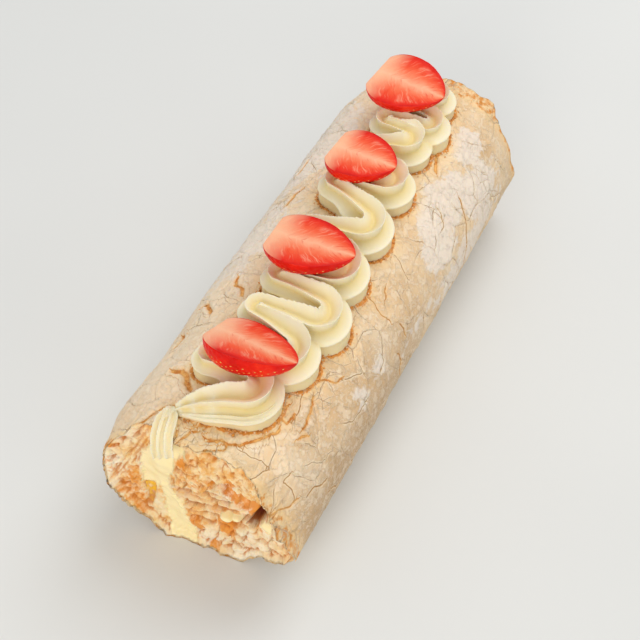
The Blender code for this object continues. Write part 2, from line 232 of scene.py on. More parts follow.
def near_rim(turn):
    """X of the broken near end of the sheet."""
    angle = turn_angle(turn)
    wrap = [(-10, -146), (5, -149), (20, -149), (38, -146), (50, -145), (66, -139), (80, -140), (97, -143),
            (112, -142), (128, -137), (141, -137), (157, -143), (200, -146), (275, -144), (310, -140),
            (350, -144)]
    if turn >= 1.0:
        return TORN_BACK
    x = along_knots(wrap, angle)
    jag = noise.noise(Vector((turn * 19.0, 3.7, 0.0))) * 2.4
    jag += noise.noise(Vector((turn * 47.0, 8.1, 0.0))) * 2.0
    jag += noise.noise(Vector((turn * 130.0, 1.1, 6.0))) * 1.3
    return (x + jag) * MM


def far_rim(turn):
    """X of the broken far end of the sheet."""
    angle = turn_angle(turn)
    wrap = [(-10, 143), (30, 141), (42, 144), (52, 148), (80, 148), (105, 146), (128, 146), (154, 138),
            (172, 143), (350, 143)]
    x = along_knots(wrap, angle) if turn < 1.0 else 141.0
    jag = noise.noise(Vector((turn * 17.0, 5.3, 9.0))) * 3.0
    jag += noise.noise(Vector((turn * 41.0, 2.1, 9.0))) * 1.6
    return (x + jag) * MM


print("roll", round(outline_reach(0.0) / MM, 1), "mm from core to right flank")

# %% [markdown]
# ## The crust's form
# The crust swells and sinks over a few centimetres and tapers at both ends. The same slow swells as in the
# solid are used here. Finer plates and cracks come next.

# %% Slow swells of the crust
def crust_swell(turn, x):
    """How deep the crust lies beneath the outline, in metres, from its slow swells alone."""
    angle = turn_angle(turn)
    fade = smoothstep(0.0, 0.05, turn) * (1.0 - smoothstep(0.90, 0.97, turn))
    around = math.radians(angle) * 50.0
    along = x / MM
    swell = noise.noise(Vector((along / 55.0, around / 45.0, 1.0))) * 1.7
    taper = 4.0 * (1.0 - smoothstep(-146.0, -122.0, along)) + 4.0 * smoothstep(120.0, 146.0, along)
    on_base = smoothstep(225.0, 237.0, angle) * (1.0 - smoothstep(290.0, 302.0, angle))
    under_border = smoothstep(40.0, 54.0, angle) * (1.0 - smoothstep(134.0, 148.0, angle))
    relief = (swell + taper + 0.5) * (1.0 - under_border) + 0.5 * under_border
    return relief * (1.0 - on_base) * fade * MM


# %% [markdown]
# A sheet is modelled as a tube of profiles: for each step round the roll, a closed loop of stations runs
# along the crust from the near end to the far end, across the broken end and back on the inner side. The
# stations are close together where the eye looks and far apart inside the roll.

# %% Stations along the sheet
OUTER_TURNS = 1.06
OUTER_STEP = 0.97 * MM
HIDDEN_STEP = 2.4 * MM
SHELL = 1.1 * MM


def even(low, high, count):
    """count + 1 numbers from low to high."""
    return [low + (high - low) * index / count for index in range(count + 1)]


def turn_steps(low, high, fine, coarse):
    """Turns from low to high, in fine steps where the flank shows and in coarse steps beneath."""
    steps = [low]
    while steps[-1] < high:
        angle = turn_angle(steps[-1]) % 360.0
        hidden = smoothstep(215.0, 235.0, angle) * (1.0 - smoothstep(315.0, 335.0, angle))
        reach = outline_reach(angle)
        step = fine + (coarse - fine) * hidden
        steps.append(steps[-1] + step / reach / (2.0 * math.pi))
    steps[-1] = high
    return steps


outer_turns = turn_steps(0.0, OUTER_TURNS, OUTER_STEP, HIDDEN_STEP)
outer_ways = even(0.0, 1.0, round(ROLL_LENGTH / OUTER_STEP))
print(len(outer_turns), "steps round,", len(outer_ways), "along")


# %% [markdown]
# A profile is a loop of stations. On the real roll the dry skin is a thin shell over soft crumb, so the shell
# stands a little proud of the torn crumb at both ends. The inner side lies against the cream and needs few
# stations.

# %% A closed profile of stations
NEAR_WALL = [0.05, 0.10, 0.2, 0.5, 1.0]
FAR_WALL = [0.12, 0.2, 0.35, 0.5, 0.65, 0.8, 1.0]
BACK_WAYS = [0.0, 0.004, 0.01, 0.02, 0.04, 0.1, 0.9, 0.96, 0.985, 1.0]


def profile_stations(ways):
    """The loop of stations: crust, far end, inner side and near end, closed by its first station."""
    loop = [("crust", way) for way in ways]
    loop += [("far", share) for share in FAR_WALL]
    loop += [("back", way) for way in reversed(BACK_WAYS[1:-1])]
    loop += [("near", share) for share in reversed(NEAR_WALL)]
    return loop + [loop[0]]


def torn(place, size):
    """A ragged offset, coarse and fine, for torn crumb. Its size is the depth of the coarse part."""
    coarse = noise.noise(place / (4.5 * MM))
    fine = noise.noise(place / (1.7 * MM) + Vector((7.0, 1.0, 3.0)))
    return size * (coarse + 0.5 * fine)


def sheet_place(turn, station, swell):
    """Where a station of the sheet lies, and how far it is inside the crumb, from 0 on the crust to 1."""
    part, way = station
    angle = turn_angle(turn)
    near, far = near_rim(turn), far_rim(turn)
    depth, thickness = crust_depth(turn), sheet_thickness(turn)
    core = CORE_RADIUS + SHEET_TIP
    if part == "crust":
        x = near + (far - near) * way
        return roll_point(x, angle, depth + swell(turn, x), core), 0.0
    if part == "back":
        x = near + (far - near) * way
        x = max(x, near + 10.0 * MM) if turn < 1.0 else x
        return roll_point(x, angle, depth + thickness), 1.0
    end, inward = (near, 1.0) if part == "near" else (far, -1.0)
    shell = smoothstep(0.0, SHELL / thickness, way)
    start = depth + swell(turn, end)
    place = roll_point(end, angle, start + (depth + thickness - start) * way)
    hollow = 2.2 * MM * shell * (1.0 - 0.6 * smoothstep(0.85, 1.0, way))
    sunk = 8.0 * MM * shell if part == "near" and turn < 1.0 else 0.0
    place.x += inward * (hollow + sunk + torn(place, 1.5 * MM) * shell)
    return place, smoothstep(0.03, 0.2, way)


print(len(profile_stations(outer_ways)), "stations in a profile")


# %% [markdown]
# The grid operator gives the quads. Each vertex is then put at its station, the loop's first and last rows
# are merged, and the two thin ends are filled, so the sheet is closed. Two more numbers are kept for the
# material: the way along the roll and the way round it, both in millimetres on the rolled-out sheet.

# %% A sheet from profiles
arc_angles = np.arange(SEAM_ANGLE, SEAM_ANGLE + 360.0 * SHEET_TURNS + 1.0, 1.0)
arc_reach = np.array([outline_reach(angle) for angle in arc_angles]) / MM
arc_lengths = np.concatenate([[0.0], np.cumsum(np.radians(np.diff(arc_angles)) * arc_reach[1:])])


def arc_of(angle):
    """Way round the sheet in millimetres, from the seam to an angle in degrees."""
    return float(np.interp(angle, arc_angles, arc_lengths))


def build_sheet(turns, stations, place_of):
    """A closed sheet as a bmesh. Its layers keep each vertex's flat place and how far inside it is."""
    bm = bmesh.new()
    flat_layer = bm.verts.layers.float_vector.new("sheet_place")
    inside_layer = bm.verts.layers.float.new("inside")
    columns, rows = len(turns) - 1, len(stations) - 1
    arcs = [arc_of(turn_angle(turn)) for turn in turns]
    bmesh.ops.create_grid(bm, x_segments=columns, y_segments=rows, size=1.0)
    for vert in bm.verts:
        column = round((vert.co.x + 1.0) / 2.0 * columns)
        station = stations[round((vert.co.y + 1.0) / 2.0 * rows)]
        vert.co, vert[inside_layer] = place_of(turns[column], station)
        vert[flat_layer] = (vert.co.x / MM, arcs[column], 0.0)
    bmesh.ops.remove_doubles(bm, verts=bm.verts, dist=0.001 * MM)
    bmesh.ops.holes_fill(bm, edges=[edge for edge in bm.edges if edge.is_boundary], sides=0)
    bmesh.ops.recalc_face_normals(bm, faces=bm.faces)
    return bm


def crust_place(turn, station):
    """Where the outer wrap's station lies."""
    return sheet_place(turn, station, crust_swell)


outer_bm = build_sheet(outer_turns, profile_stations(outer_ways), crust_place)
print("crust:", len(outer_bm.verts), "vertices")

# %% [markdown]
# ## Cracks in the crust
# A dry skin cracks where the sheet is bent, so the widest cracks lie where the roll turns over and round the
# piping, and show toasted sugar inside. The main ones are drawn as routes of (x, angle) points with a half
# width in millimetres and a heat, from 0 for a dry brown line to 1 for an orange one. Each route is made
# crooked by moving the middle of its stretches sideways, again and again.

# %% Routes of the main cracks
CRACKS = [
    ([(-146, 146), (-139, 143), (-137, 138), (-136, 133), (-132, 132), (-129, 130), (-126, 128), (-123, 124)],
     0.7, 1.0),
    ([(-123, 124), (-123, 117), (-124, 113), (-127, 110), (-129, 105)], 0.6, 1.0),
    ([(-126, 121), (-129, 117), (-132, 113), (-139, 109)], 0.5, 0.8),
    ([(-140, 106), (-135, 104), (-131, 100), (-128, 98), (-129, 101)], 0.6, 1.0),
    ([(-133, 94), (-132, 87), (-131, 80), (-129, 74), (-122, 67), (-116, 62), (-110, 59)], 0.7, 1.0),
    ([(-144, 94), (-138, 86), (-135, 80), (-132, 80)], 0.4, 0.9),
    ([(-131, 73), (-131, 64), (-130, 53)], 0.22, 0.1),
    ([(-129, 53), (-123, 54), (-116, 59)], 0.15, 0.0),
    ([(-131, 52), (-136, 55), (-141, 58)], 0.22, 0.2),
    ([(-130, 25), (-135, 25), (-140, 30), (-148, 34)], 0.4, 0.7),
    ([(-135, 41), (-139, 36), (-142, 33)], 0.2, 0.2),
    ([(-124, 39), (-130, 39), (-129, 33), (-131, 26)], 0.25, 0.2),
    ([(-124, 20), (-116, 17), (-109, 13)], 0.4, 0.1),
    ([(-85, 52), (-91, 49), (-98, 47), (-103, 47)], 0.45, 0.9),
    ([(-108, 46), (-106, 45), (-104, 43)], 0.5, 1.0),
    ([(-115, 33), (-106, 24), (-99, 23)], 0.15, 0.0),
    ([(-83, 26), (-78, 21), (-70, 20), (-62, 21)], 0.25, 0.0),
    ([(-69, 43), (-61, 38), (-54, 32)], 0.2, 0.0),
    ([(-52, 41), (-54, 37), (-56, 31)], 0.15, 0.0),
    ([(-38, 28), (-39, 24), (-46, 21)], 0.25, 0.0),
    ([(-26, 15), (-24, 4), (-26, -4)], 0.5, 0.5),
    ([(-97, 62), (-105, 62), (-106, 57), (-99, 56)], 0.5, 1.0),
    ([(-103, 53), (-95, 55), (-88, 58)], 0.2, 0.3),
    ([(-15, 27), (-15, 18)], 0.5, 0.3),
    ([(-18, 57), (-19, 49), (-21, 41), (-20, 34)], 0.3, 0.6),
    ([(14, 55), (11, 47), (8, 39)], 0.2, 0.2),
    ([(-7, 49), (-12, 45)], 0.4, 0.8),
    ([(58, 47), (54, 39), (49, 37)], 0.2, 0.2),
    ([(76, 37), (70, 25), (64, 11), (61, -5)], 0.4, 0.4),
    ([(-111, 4), (-92, -8), (-70, -9)], 0.4, 0.2),
    ([(-54, 151), (-53, 147), (-57, 143), (-60, 140)], 0.9, 1.0),
    ([(-82, 152), (-76, 150), (-73, 153)], 0.8, 1.0),
    ([(-101, 137), (-101, 131), (-105, 125), (-111, 119)], 1.3, 1.0),
    ([(-47, 127), (-42, 130), (-40, 136), (-34, 138)], 0.7, 1.0),
    ([(66, 148), (61, 149), (54, 150)], 0.8, 1.0),
    ([(37, 136), (31, 139), (24, 140)], 0.6, 0.9),
    ([(-42, 63), (-36, 60), (-31, 62)], 0.6, 1.0),
    ([(-77, 56), (-73, 51), (-71, 45), (-66, 43)], 0.35, 0.9),
    ([(90, 70), (84, 64), (79, 61)], 0.9, 1.0),
]


def crooked(route, rounds=3):
    """The route on the flat sheet, its stretches halved and shifted sideways a few times."""
    points = [np.array([x, arc_of(angle)]) for x, angle in route]
    for level in range(rounds):
        finer = [points[0]]
        for start, end in zip(points, points[1:]):
            along = end - start
            seed = Vector((start[0] * 0.37, start[1] * 0.37, level))
            shift = noise.noise(seed) * 0.28
            middle = (start + end) / 2 + np.array([-along[1], along[0]]) * shift
            finer += [middle, end]
        points = finer
    return points


crack_routes = [(crooked(route), half_width, heat) for route, half_width, heat in CRACKS]
print(len(crack_routes), "main cracks of", sum(len(route) for route, _, _ in crack_routes), "points")

# %% [markdown]
# The mesh is too coarse for a line half a millimetre wide. But a signed distance to the line, positive on
# one side and negative on the other, passes smoothly through zero between two vertices. The material finds
# the line there, as sharp as the picture needs it.

# %% Signed distance to the cracks
CRACK_REACH = 4.0


def crack_fields(places):
    """For each flat place: signed distance to the nearest crack, its half width and its heat."""
    nearest = np.full(len(places), CRACK_REACH)
    side = np.full(len(places), CRACK_REACH)
    wide = np.zeros(len(places))
    heat = np.zeros(len(places))
    for route, half_width, warmth in crack_routes:
        for start, end in zip(route, route[1:]):
            along = end - start
            length = np.hypot(*along)
            offset = places - start
            share = np.clip(offset @ along / length ** 2, 0.0, 1.0)
            away = offset - share[:, None] * along
            distance = np.hypot(away[:, 0], away[:, 1])
            cross = along[0] * offset[:, 1] - along[1] * offset[:, 0]
            closer = distance < nearest
            nearest[closer] = distance[closer]
            side[closer] = np.where(cross[closer] < 0, -distance[closer], distance[closer])
            wide[closer] = half_width
            heat[closer] = warmth
    return nearest, side, wide, heat


def read_vectors(mesh, name):
    """A vector attribute of a mesh as an array of rows."""
    values = np.zeros(len(mesh.vertices) * 3)
    mesh.attributes[name].data.foreach_get("vector", values)
    return values.reshape(-1, 3)


def read_numbers(mesh, name):
    """A number attribute of a mesh as an array."""
    values = np.zeros(len(mesh.vertices))
    mesh.attributes[name].data.foreach_get("value", values)
    return values


def write_numbers(mesh, name, values):
    """Keeps one number for each vertex under a name."""
    layer = mesh.attributes.get(name) or mesh.attributes.new(name, "FLOAT", "POINT")
    layer.data.foreach_set("value", np.asarray(values, dtype=np.float32))


def push_along_normals(mesh, amounts):
    """Moves each vertex along its normal, by amounts in metres."""
    count = len(mesh.vertices)
    places, normals = np.zeros(count * 3), np.zeros(count * 3)
    mesh.vertices.foreach_get("co", places)
    mesh.vertex_normals.foreach_get("vector", normals)
    places += (normals.reshape(-1, 3) * amounts[:, None]).ravel()
    mesh.vertices.foreach_set("co", places)
    mesh.update()


# %% [markdown]
# ## Sugar and toast
# Icing sugar lies on the far half of the flank and on the far shoulder. The skin is toasted at its broken
# rims, and where the cream is piped on it the orange is partly toast and partly painted contact shadow.
# Both are soft blobs here, and the material gives them ragged edges.

# %% Sugar and toast on the crust
SUGAR = [
    (62, 44, 30, 15, 1.0), (40, 30, 26, 14, 0.8), (108, 52, 16, 12, 0.9), (95, 25, 30, 22, 0.75),
    (-45, 25, 12, 9, 0.6), (-66, 25, 11, 12, 0.6), (0, 12, 60, 12, 0.5), (60, 5, 70, 14, 0.65),
    (0, 150, 70, 26, 0.65), (80, 150, 60, 30, 0.75), (-90, 168, 26, 16, 0.4), (40, 190, 120, 30, 0.4),
]


def sugar_at(places):
    """How much sugar may lie at flat places, from 0 to 1: (x, angle, half length, half width, amount)."""
    amount = np.zeros(len(places))
    for x, angle, half_length, half_width, most in SUGAR:
        spread = ((places[:, 0] - x) / half_length) ** 2 + ((places[:, 1] - arc_of(angle)) / half_width) ** 2
        amount = np.maximum(amount, most * np.exp(-0.9 * spread))
    return amount


# %% [markdown]
# ## Piped cream: the rope
# A star nozzle leaves a rope with crisp ridges and smooth hollows between them. The hand moves it in a
# zigzag: down over the crust, round a wide turn that spreads, and back up to a tight turn on top. Every
# turn is a circle with its own place and size, and the rope runs straight from one circle to the next.

# %% The zigzag path
# Wide turns: X and Y of the circle's centre, its radius, the rope's radius and its lift over the crust, in mm
LOBES = [(-106, -8.5, 8, 13, 5), (-77.5, -13.5, 8, 12, 5), (-50, -17, 8, 12, 5), (-20, -11.5, 9, 12.8, 5),
         (13.5, -10, 9, 12, 4.5), (46.5, -10.5, 6, 13.5, 5), (79, -6.5, 6, 12.5, 5), (98, -11, 6, 9.5, 5.5),
         (120, -6, 6, 9, 5)]
# Tight turns between them: the same
TURNS_BACK = [(-96, 13, 3.2, 8, 7), (-62, 6.5, 3, 8.5, 7), (-38, 6.5, 3, 8.5, 7), (-4, 7.5, 3.2, 8.5, 7),
              (33.5, 9.8, 3.2, 8.5, 7), (64, 8, 3.2, 8, 7), (89, 6, 3.2, 8, 7), (109, 5, 3, 7, 7)]
# The rope's thin start and its end: X, Y, radius and lift
ROPE_START = [(-125.5, 16.5, 3.5, 0.5), (-123, 11, 6.5, 2), (-120, 4, 9.5, 3.8), (-116, -5, 12, 4.8)]
ROPE_END = (128, 4, 7, 6)
START_HEADING, END_HEADING = math.radians(-62), math.radians(60)
TURN_POINTS, RUN_POINTS = 16, 14


def surface_z(y):
    """Height of the roll's outline above the table at a place across it."""
    half_height = (ROLL_HEIGHT + BASE_SINK) / 2
    fill = max(1.0 - abs(2 * y / ROLL_WIDTH) ** OUTLINE_POWER, 0.0)
    return ROLL_HEIGHT - half_height + half_height * fill ** (1 / OUTLINE_POWER)


def heading_between(here, there, way_round):
    """Direction of the straight rope from one circle to the next, which it rounds the other way."""
    across, along = there[0] - here[0], there[1] - here[1]
    slant = math.asin((here[2] + there[2]) / math.hypot(across, along))
    return math.atan2(along, across) + way_round * slant


def turn_points(turn, heading_in, heading_out, way_round):
    """Points of one turn: anticlockwise if way_round is 1, clockwise if it is -1."""
    start, end = heading_in - way_round * math.pi / 2, heading_out - way_round * math.pi / 2
    while (end - start) * way_round < 0:
        end += way_round * 2 * math.pi
    x, y, size, rope, lift = turn
    return [(x + size * math.cos(angle), y + size * math.sin(angle), rope, lift)
            for angle in even(start, end, TURN_POINTS)]


def rope_path():
    """Places and radii along the whole rope, in metres."""
    turns = [turn for pair in zip(LOBES, TURNS_BACK) for turn in pair] + [LOBES[-1]]
    ways = [1 if index % 2 == 0 else -1 for index in range(len(turns))]
    headings = [heading_between(*pair, way) for *pair, way in zip(turns, turns[1:], ways)]
    headings = [START_HEADING] + headings + [END_HEADING]
    runs = [turn_points(turn, *pair, way) for turn, *pair, way in zip(turns, headings, headings[1:], ways)]
    rows = list(ROPE_START)
    for run, way_round in zip(runs + [[ROPE_END]], ways + [-1]):
        last, first = rows[-1], run[0]
        for way in even(0.0, 1.0, RUN_POINTS)[1:-1]:
            eased = smoothstep(0.25, 1.0, way) if way_round == 1 else smoothstep(0.0, 0.75, way)
            shares = (way, way, eased, eased)
            rows.append(tuple(a + (b - a) * share for a, b, share in zip(last, first, shares)))
        rows += run
    return [(Vector((x * MM, y * MM, surface_z(y * MM) + lift * MM)) + CENTRING, rope * MM)
            for x, y, rope, lift in rows]


rope_points = rope_path()
print(len(rope_points), "points along the rope")

# %% [markdown]
# Two sections are swept along the path: the nozzle's two ridges with smooth hollows beside them, and below
# them the wide ledge with its upright wall, where the cream was pressed down. The rope overlaps itself at
# each turn, so both are melted into one skin of small cells with a Remesh modifier, which keeps the ridges
# that show. Decimate then takes cells away where the skin is flat. Two thin strands run beside the rope's
# start, where more of the nozzle's teeth drew ridges.

# %% Melting the rope into one skin
# Ridges in a full round, of which only the ones on top are kept
RIDGES = 6
RIDGE_DEPTH = 0.56
RIDGE_SHARPNESS = 0.62
SECTION_POINTS = 120
# Half of the ledge's section, from the top down, as shares of its reach
LEDGE = [(0.0, 0.32), (0.40, 0.30), (0.62, 0.17), (0.82, 0.06), (0.97, 0.02), (1.0, -0.03), (0.94, -0.10),
         (0.88, -0.22), (0.87, -0.45), (0.90, -0.75), (0.92, -1.05), (0.5, -1.15), (0.0, -1.15)]
# How far out on the ledge each strand lies, its radius beside the rope's, and how many points it follows
STRANDS = [(0.62, 0.30, 30), (0.84, 0.22, 26)]
MELT_CELL = 0.42 * MM
BORDER_TRIANGLES = 185000


def section_curve(points):
    """A flat closed curve through points, to be swept along a path."""
    curve = bpy.data.curves.new("section", "CURVE")
    curve.dimensions = "2D"
    spline = curve.splines.new("POLY")
    spline.points.add(len(points) - 1)
    for point, (across, up) in zip(spline.points, points):
        point.co = (across, up, 0.0, 1.0)
    spline.use_cyclic_u = True
    section = bpy.data.objects.new("section", curve)
    bpy.context.scene.collection.objects.link(section)
    return section


def ridged_section():
    """The two ridges and their hollows, of unit radius."""
    points = []
    for index in range(SECTION_POINTS):
        angle = 2.0 * math.pi * index / SECTION_POINTS
        from_top = min(angle, 2.0 * math.pi - angle, math.pi / 3.0)
        radius = 1.0 - RIDGE_DEPTH * abs(math.cos(RIDGES * from_top / 2.0)) ** RIDGE_SHARPNESS
        points.append((radius * math.sin(angle), radius * math.cos(angle)))
    return points


def ledge_section():
    """The ledge and its wall, of unit reach."""
    return LEDGE + [(-across, up) for across, up in LEDGE[-2:0:-1]]


def ledge_reach(radius):
    """How far the ledge reaches beside a rope of this radius: hardly at all at the tight turns."""
    return float(np.interp(radius / MM, (0.0, 8.5, 10.0, 13.5), (0.0, 8.1, 10.4, 11.24))) * MM


def evaluated_mesh(item):
    """A new mesh of what an object's curve and modifiers show."""
    bpy.context.view_layer.update()
    return bpy.data.meshes.new_from_object(item.evaluated_get(bpy.context.evaluated_depsgraph_get()))


def rope_mesh(path, section):
    """Sweeps a section along a path of places and radii."""
    curve = bpy.data.curves.new("rope", "CURVE")
    curve.dimensions = "3D"
    curve.twist_mode = "Z_UP"
    curve.bevel_mode = "OBJECT"
    curve.bevel_object = section
    curve.use_fill_caps = True
    spline = curve.splines.new("POLY")
    spline.points.add(len(path) - 1)
    for point, (place, radius) in zip(spline.points, path):
        point.co = (*place, 1.0)
        point.radius = radius
    rope = bpy.data.objects.new("rope", curve)
    bpy.context.scene.collection.objects.link(rope)
    mesh = evaluated_mesh(rope)
    bpy.data.objects.remove(rope)
    return mesh


def triangles_in(mesh):
    """How many triangles a mesh has."""
    return sum(len(face.vertices) - 2 for face in mesh.polygons)


def melt(meshes, cell, triangles):
    """One skin over overlapping closed meshes, thinned to a number of triangles."""
    bm = bmesh.new()
    for mesh in meshes:
        bm.from_mesh(mesh)
        bpy.data.meshes.remove(mesh)
    bmesh.ops.remove_doubles(bm, verts=bm.verts, dist=0.001 * MM)
    bmesh.ops.recalc_face_normals(bm, faces=bm.faces)
    joined = bpy.data.meshes.new("joined")
    bm.to_mesh(joined)
    bm.free()
    helper = bpy.data.objects.new("melting", joined)
    bpy.context.scene.collection.objects.link(helper)
    cells = helper.modifiers.new("cells", "REMESH")
    cells.mode = "VOXEL"
    cells.voxel_size = cell
    skin = evaluated_mesh(helper)
    helper.modifiers.clear()
    helper.data = skin
    count = triangles_in(skin)
    if count > triangles:
        fewer = helper.modifiers.new("fewer", "DECIMATE")
        fewer.ratio = triangles / count
        skin = evaluated_mesh(helper)
    bpy.data.objects.remove(helper)
    print("melted", count, "triangles to", triangles_in(skin))
    return skin


def strand_path(across, thick, last):
    """A thin ridge beside the start of the rope, on its outer side, which fades out again."""
    rows = []
    for index in range(last):
        place, radius = rope_points[index]
        ahead = rope_points[index + 1][0] - rope_points[max(index - 1, 0)][0]
        outward = Vector((ahead.y, -ahead.x, 0.0)).normalized()
        fade = 1.0 - smoothstep(0.6, 1.0, index / last)
        sunk = Vector((0.0, 0.0, (0.1 * fade - 0.1) * radius))
        beside = place + outward * across * ledge_reach(radius) + sunk
        rows.append((beside, thick * radius * (0.4 + 0.6 * fade)))
    return rows


ridges = section_curve(ridged_section())
ledge = section_curve(ledge_section())
ledge_points = [(place, ledge_reach(radius)) for place, radius in rope_points]
strands = [rope_mesh(strand_path(*strand), ridges) for strand in STRANDS]
border_mesh = melt([rope_mesh(rope_points, ridges), rope_mesh(ledge_points, ledge)] + strands,
                   MELT_CELL, BORDER_TRIANGLES)
bpy.data.objects.remove(ledge)

# %% [markdown]
# ## How far things are from the piping
# The skin crumbles along the foot of the piping and is coloured orange there, partly as toast and partly
# as painted contact shadow. A tree of points on the ropes gives each vertex its distance to the nearest rope,
# and for the cream itself how deep it lies in a groove, which sets its painted shade.

# %% Distance to the ropes
def tree_of(places):
    """A tree that finds the nearest of these places."""
    tree = kdtree.KDTree(len(places))
    for index, place in enumerate(places):
        tree.insert(place, index)
    tree.balance()
    return tree


rope_tree = tree_of([place for place, _ in rope_points])


def mesh_places(mesh):
    """The vertices of a mesh as an array of rows."""
    places = np.zeros(len(mesh.vertices) * 3)
    mesh.vertices.foreach_get("co", places)
    return places.reshape(-1, 3)


def rope_distances(mesh):
    """For each vertex, its distance to the nearest rope's middle, that rope's radius, and how far the vertex
    lies beside the rope's wall, seen from above, in metres."""
    places = mesh_places(mesh)
    found = [rope_tree.find(place) for place in places]
    distances = np.array([distance for _, _, distance in found])
    radii = np.array([rope_points[index][1] for _, index, _ in found])
    middles = np.array([middle for middle, _, _ in found])
    walls = np.array([0.9 * ledge_reach(radius) for radius in radii])
    beside = np.hypot(places[:, 0] - middles[:, 0], places[:, 1] - middles[:, 1]) - walls
    return distances, radii, beside


# %% [markdown]
# ## Plates of dry skin
# Between the main cracks the skin is broken into plates of two or three centimetres, and some of those into
# plates of a few millimetres. Voronoi cells, made crooked by noise, give such plates. The relief is made by
# Geometry Nodes and the colour by the material, and both call one function, so lines and steps agree.

# %% Nodes for the plates
BIG_PLATE = 19.0
SMALL_PLATE = 6.5
# Where the broken rims begin along the flat sheet
NEAR_RIM, FAR_RIM = -141.0, 140.0


def plate_nodes(tree, place):
    """Fields on the flat sheet: millimetres to a big and a small edge, two plate tints and a mask."""
    bends = add(tree, "TexNoise", {"Vector": place, "Scale": 0.05, "Detail": 0.0})
    kinks = add(tree, "TexNoise", {"Vector": place, "Scale": 0.5, "Detail": 2.0})
    bent = add(tree, "VectorMath", {0: bends.outputs["Color"], 1: (16.0, 16.0, 0.0), 2: place},
               operation="MULTIPLY_ADD")
    kinked = add(tree, "VectorMath", {0: kinks.outputs["Color"], 1: (1.3, 1.3, 0.0), 2: bent},
                 operation="MULTIPLY_ADD")
    fields = {}
    for size, name in ((BIG_PLATE, "big"), (SMALL_PLATE, "small")):
        inputs = {"Vector": kinked, "Scale": 1.0 / size}
        edge = add(tree, "TexVoronoi", inputs, voronoi_dimensions="2D", feature="DISTANCE_TO_EDGE")
        cell = add(tree, "TexVoronoi", inputs, voronoi_dimensions="2D", feature="F1")
        tint = add(tree, "SeparateXYZ", {0: cell.outputs["Color"]})
        fields[name] = add(tree, "Math", {0: edge, 1: size}, operation="MULTIPLY")
        fields[name + "_tint"] = tint.outputs["X"]
    patches = add(tree, "TexNoise", {"Vector": place, "Scale": 0.033, "Detail": 2.0})
    fields["broken"] = add(tree, "MapRange", {0: patches, 1: 0.46, 2: 0.60})
    return fields


# %% [markdown]
# The relief raises or lowers each plate a little, lets the skin sink at the cracks and lifts its lips beside
# them. A wide main crack is a real valley. The crumb inside moves less.

# %% Relief of the crust
def relief_nodes():
    """A Geometry Nodes tree that moves the crust along its normals by plates and cracks."""
    tree = bpy.data.node_groups.new("crust_relief", "GeometryNodeTree")
    tree.interface.new_socket("Geometry", in_out="INPUT", socket_type="NodeSocketGeometry")
    tree.interface.new_socket("Geometry", in_out="OUTPUT", socket_type="NodeSocketGeometry")
    start = add(tree, "NodeGroupInput")
    place = add(tree, "GeometryNodeInputNamedAttribute", {"Name": "sheet_place"}, data_type="FLOAT_VECTOR")
    most = add(tree, "GeometryNodeInputNamedAttribute", {"Name": "relief"}, data_type="FLOAT")
    fields = plate_nodes(tree, place)
    height = add(tree, "MapRange", {0: fields["big_tint"], 3: -0.34, 4: 0.34})
    bits = add(tree, "MapRange", {0: fields["small_tint"], 3: -0.26, 4: 0.26})
    bits = add(tree, "Math", {0: bits, 1: fields["broken"]}, operation="MULTIPLY")
    lip = add(tree, "MapRange", {0: fields["big"], 1: 0.9, 2: 3.4, 3: 0.32, 4: 0.0})
    groove = add(tree, "MapRange", {0: fields["big"], 1: 0.0, 2: 0.9, 3: -0.75, 4: 0.0})
    notch = add(tree, "MapRange", {0: fields["small"], 1: 0.0, 2: 0.8, 3: -0.35, 4: 0.0})
    notch = add(tree, "Math", {0: notch, 1: fields["broken"]}, operation="MULTIPLY")
    for part in (bits, lip, groove, notch):
        height = add(tree, "Math", {0: height, 1: part}, operation="ADD")
    height = add(tree, "Math", {0: height, 1: most}, operation="MULTIPLY")
    height = add(tree, "Math", {0: height, 1: MM}, operation="MULTIPLY")
    normal = add(tree, "GeometryNodeInputNormal")
    offset = add(tree, "VectorMath", {0: normal, "Scale": height}, operation="SCALE")
    moved = add(tree, "GeometryNodeSetPosition",
                {"Geometry": start, "Offset": offset})
    add(tree, "NodeGroupOutput", {0: moved})
    return tree


def ramp(values, start, end):
    """0 where an array's values are at start or before it, 1 at end or past it, and even between."""
    return np.clip((values - start) / (end - start), 0.0, 1.0)


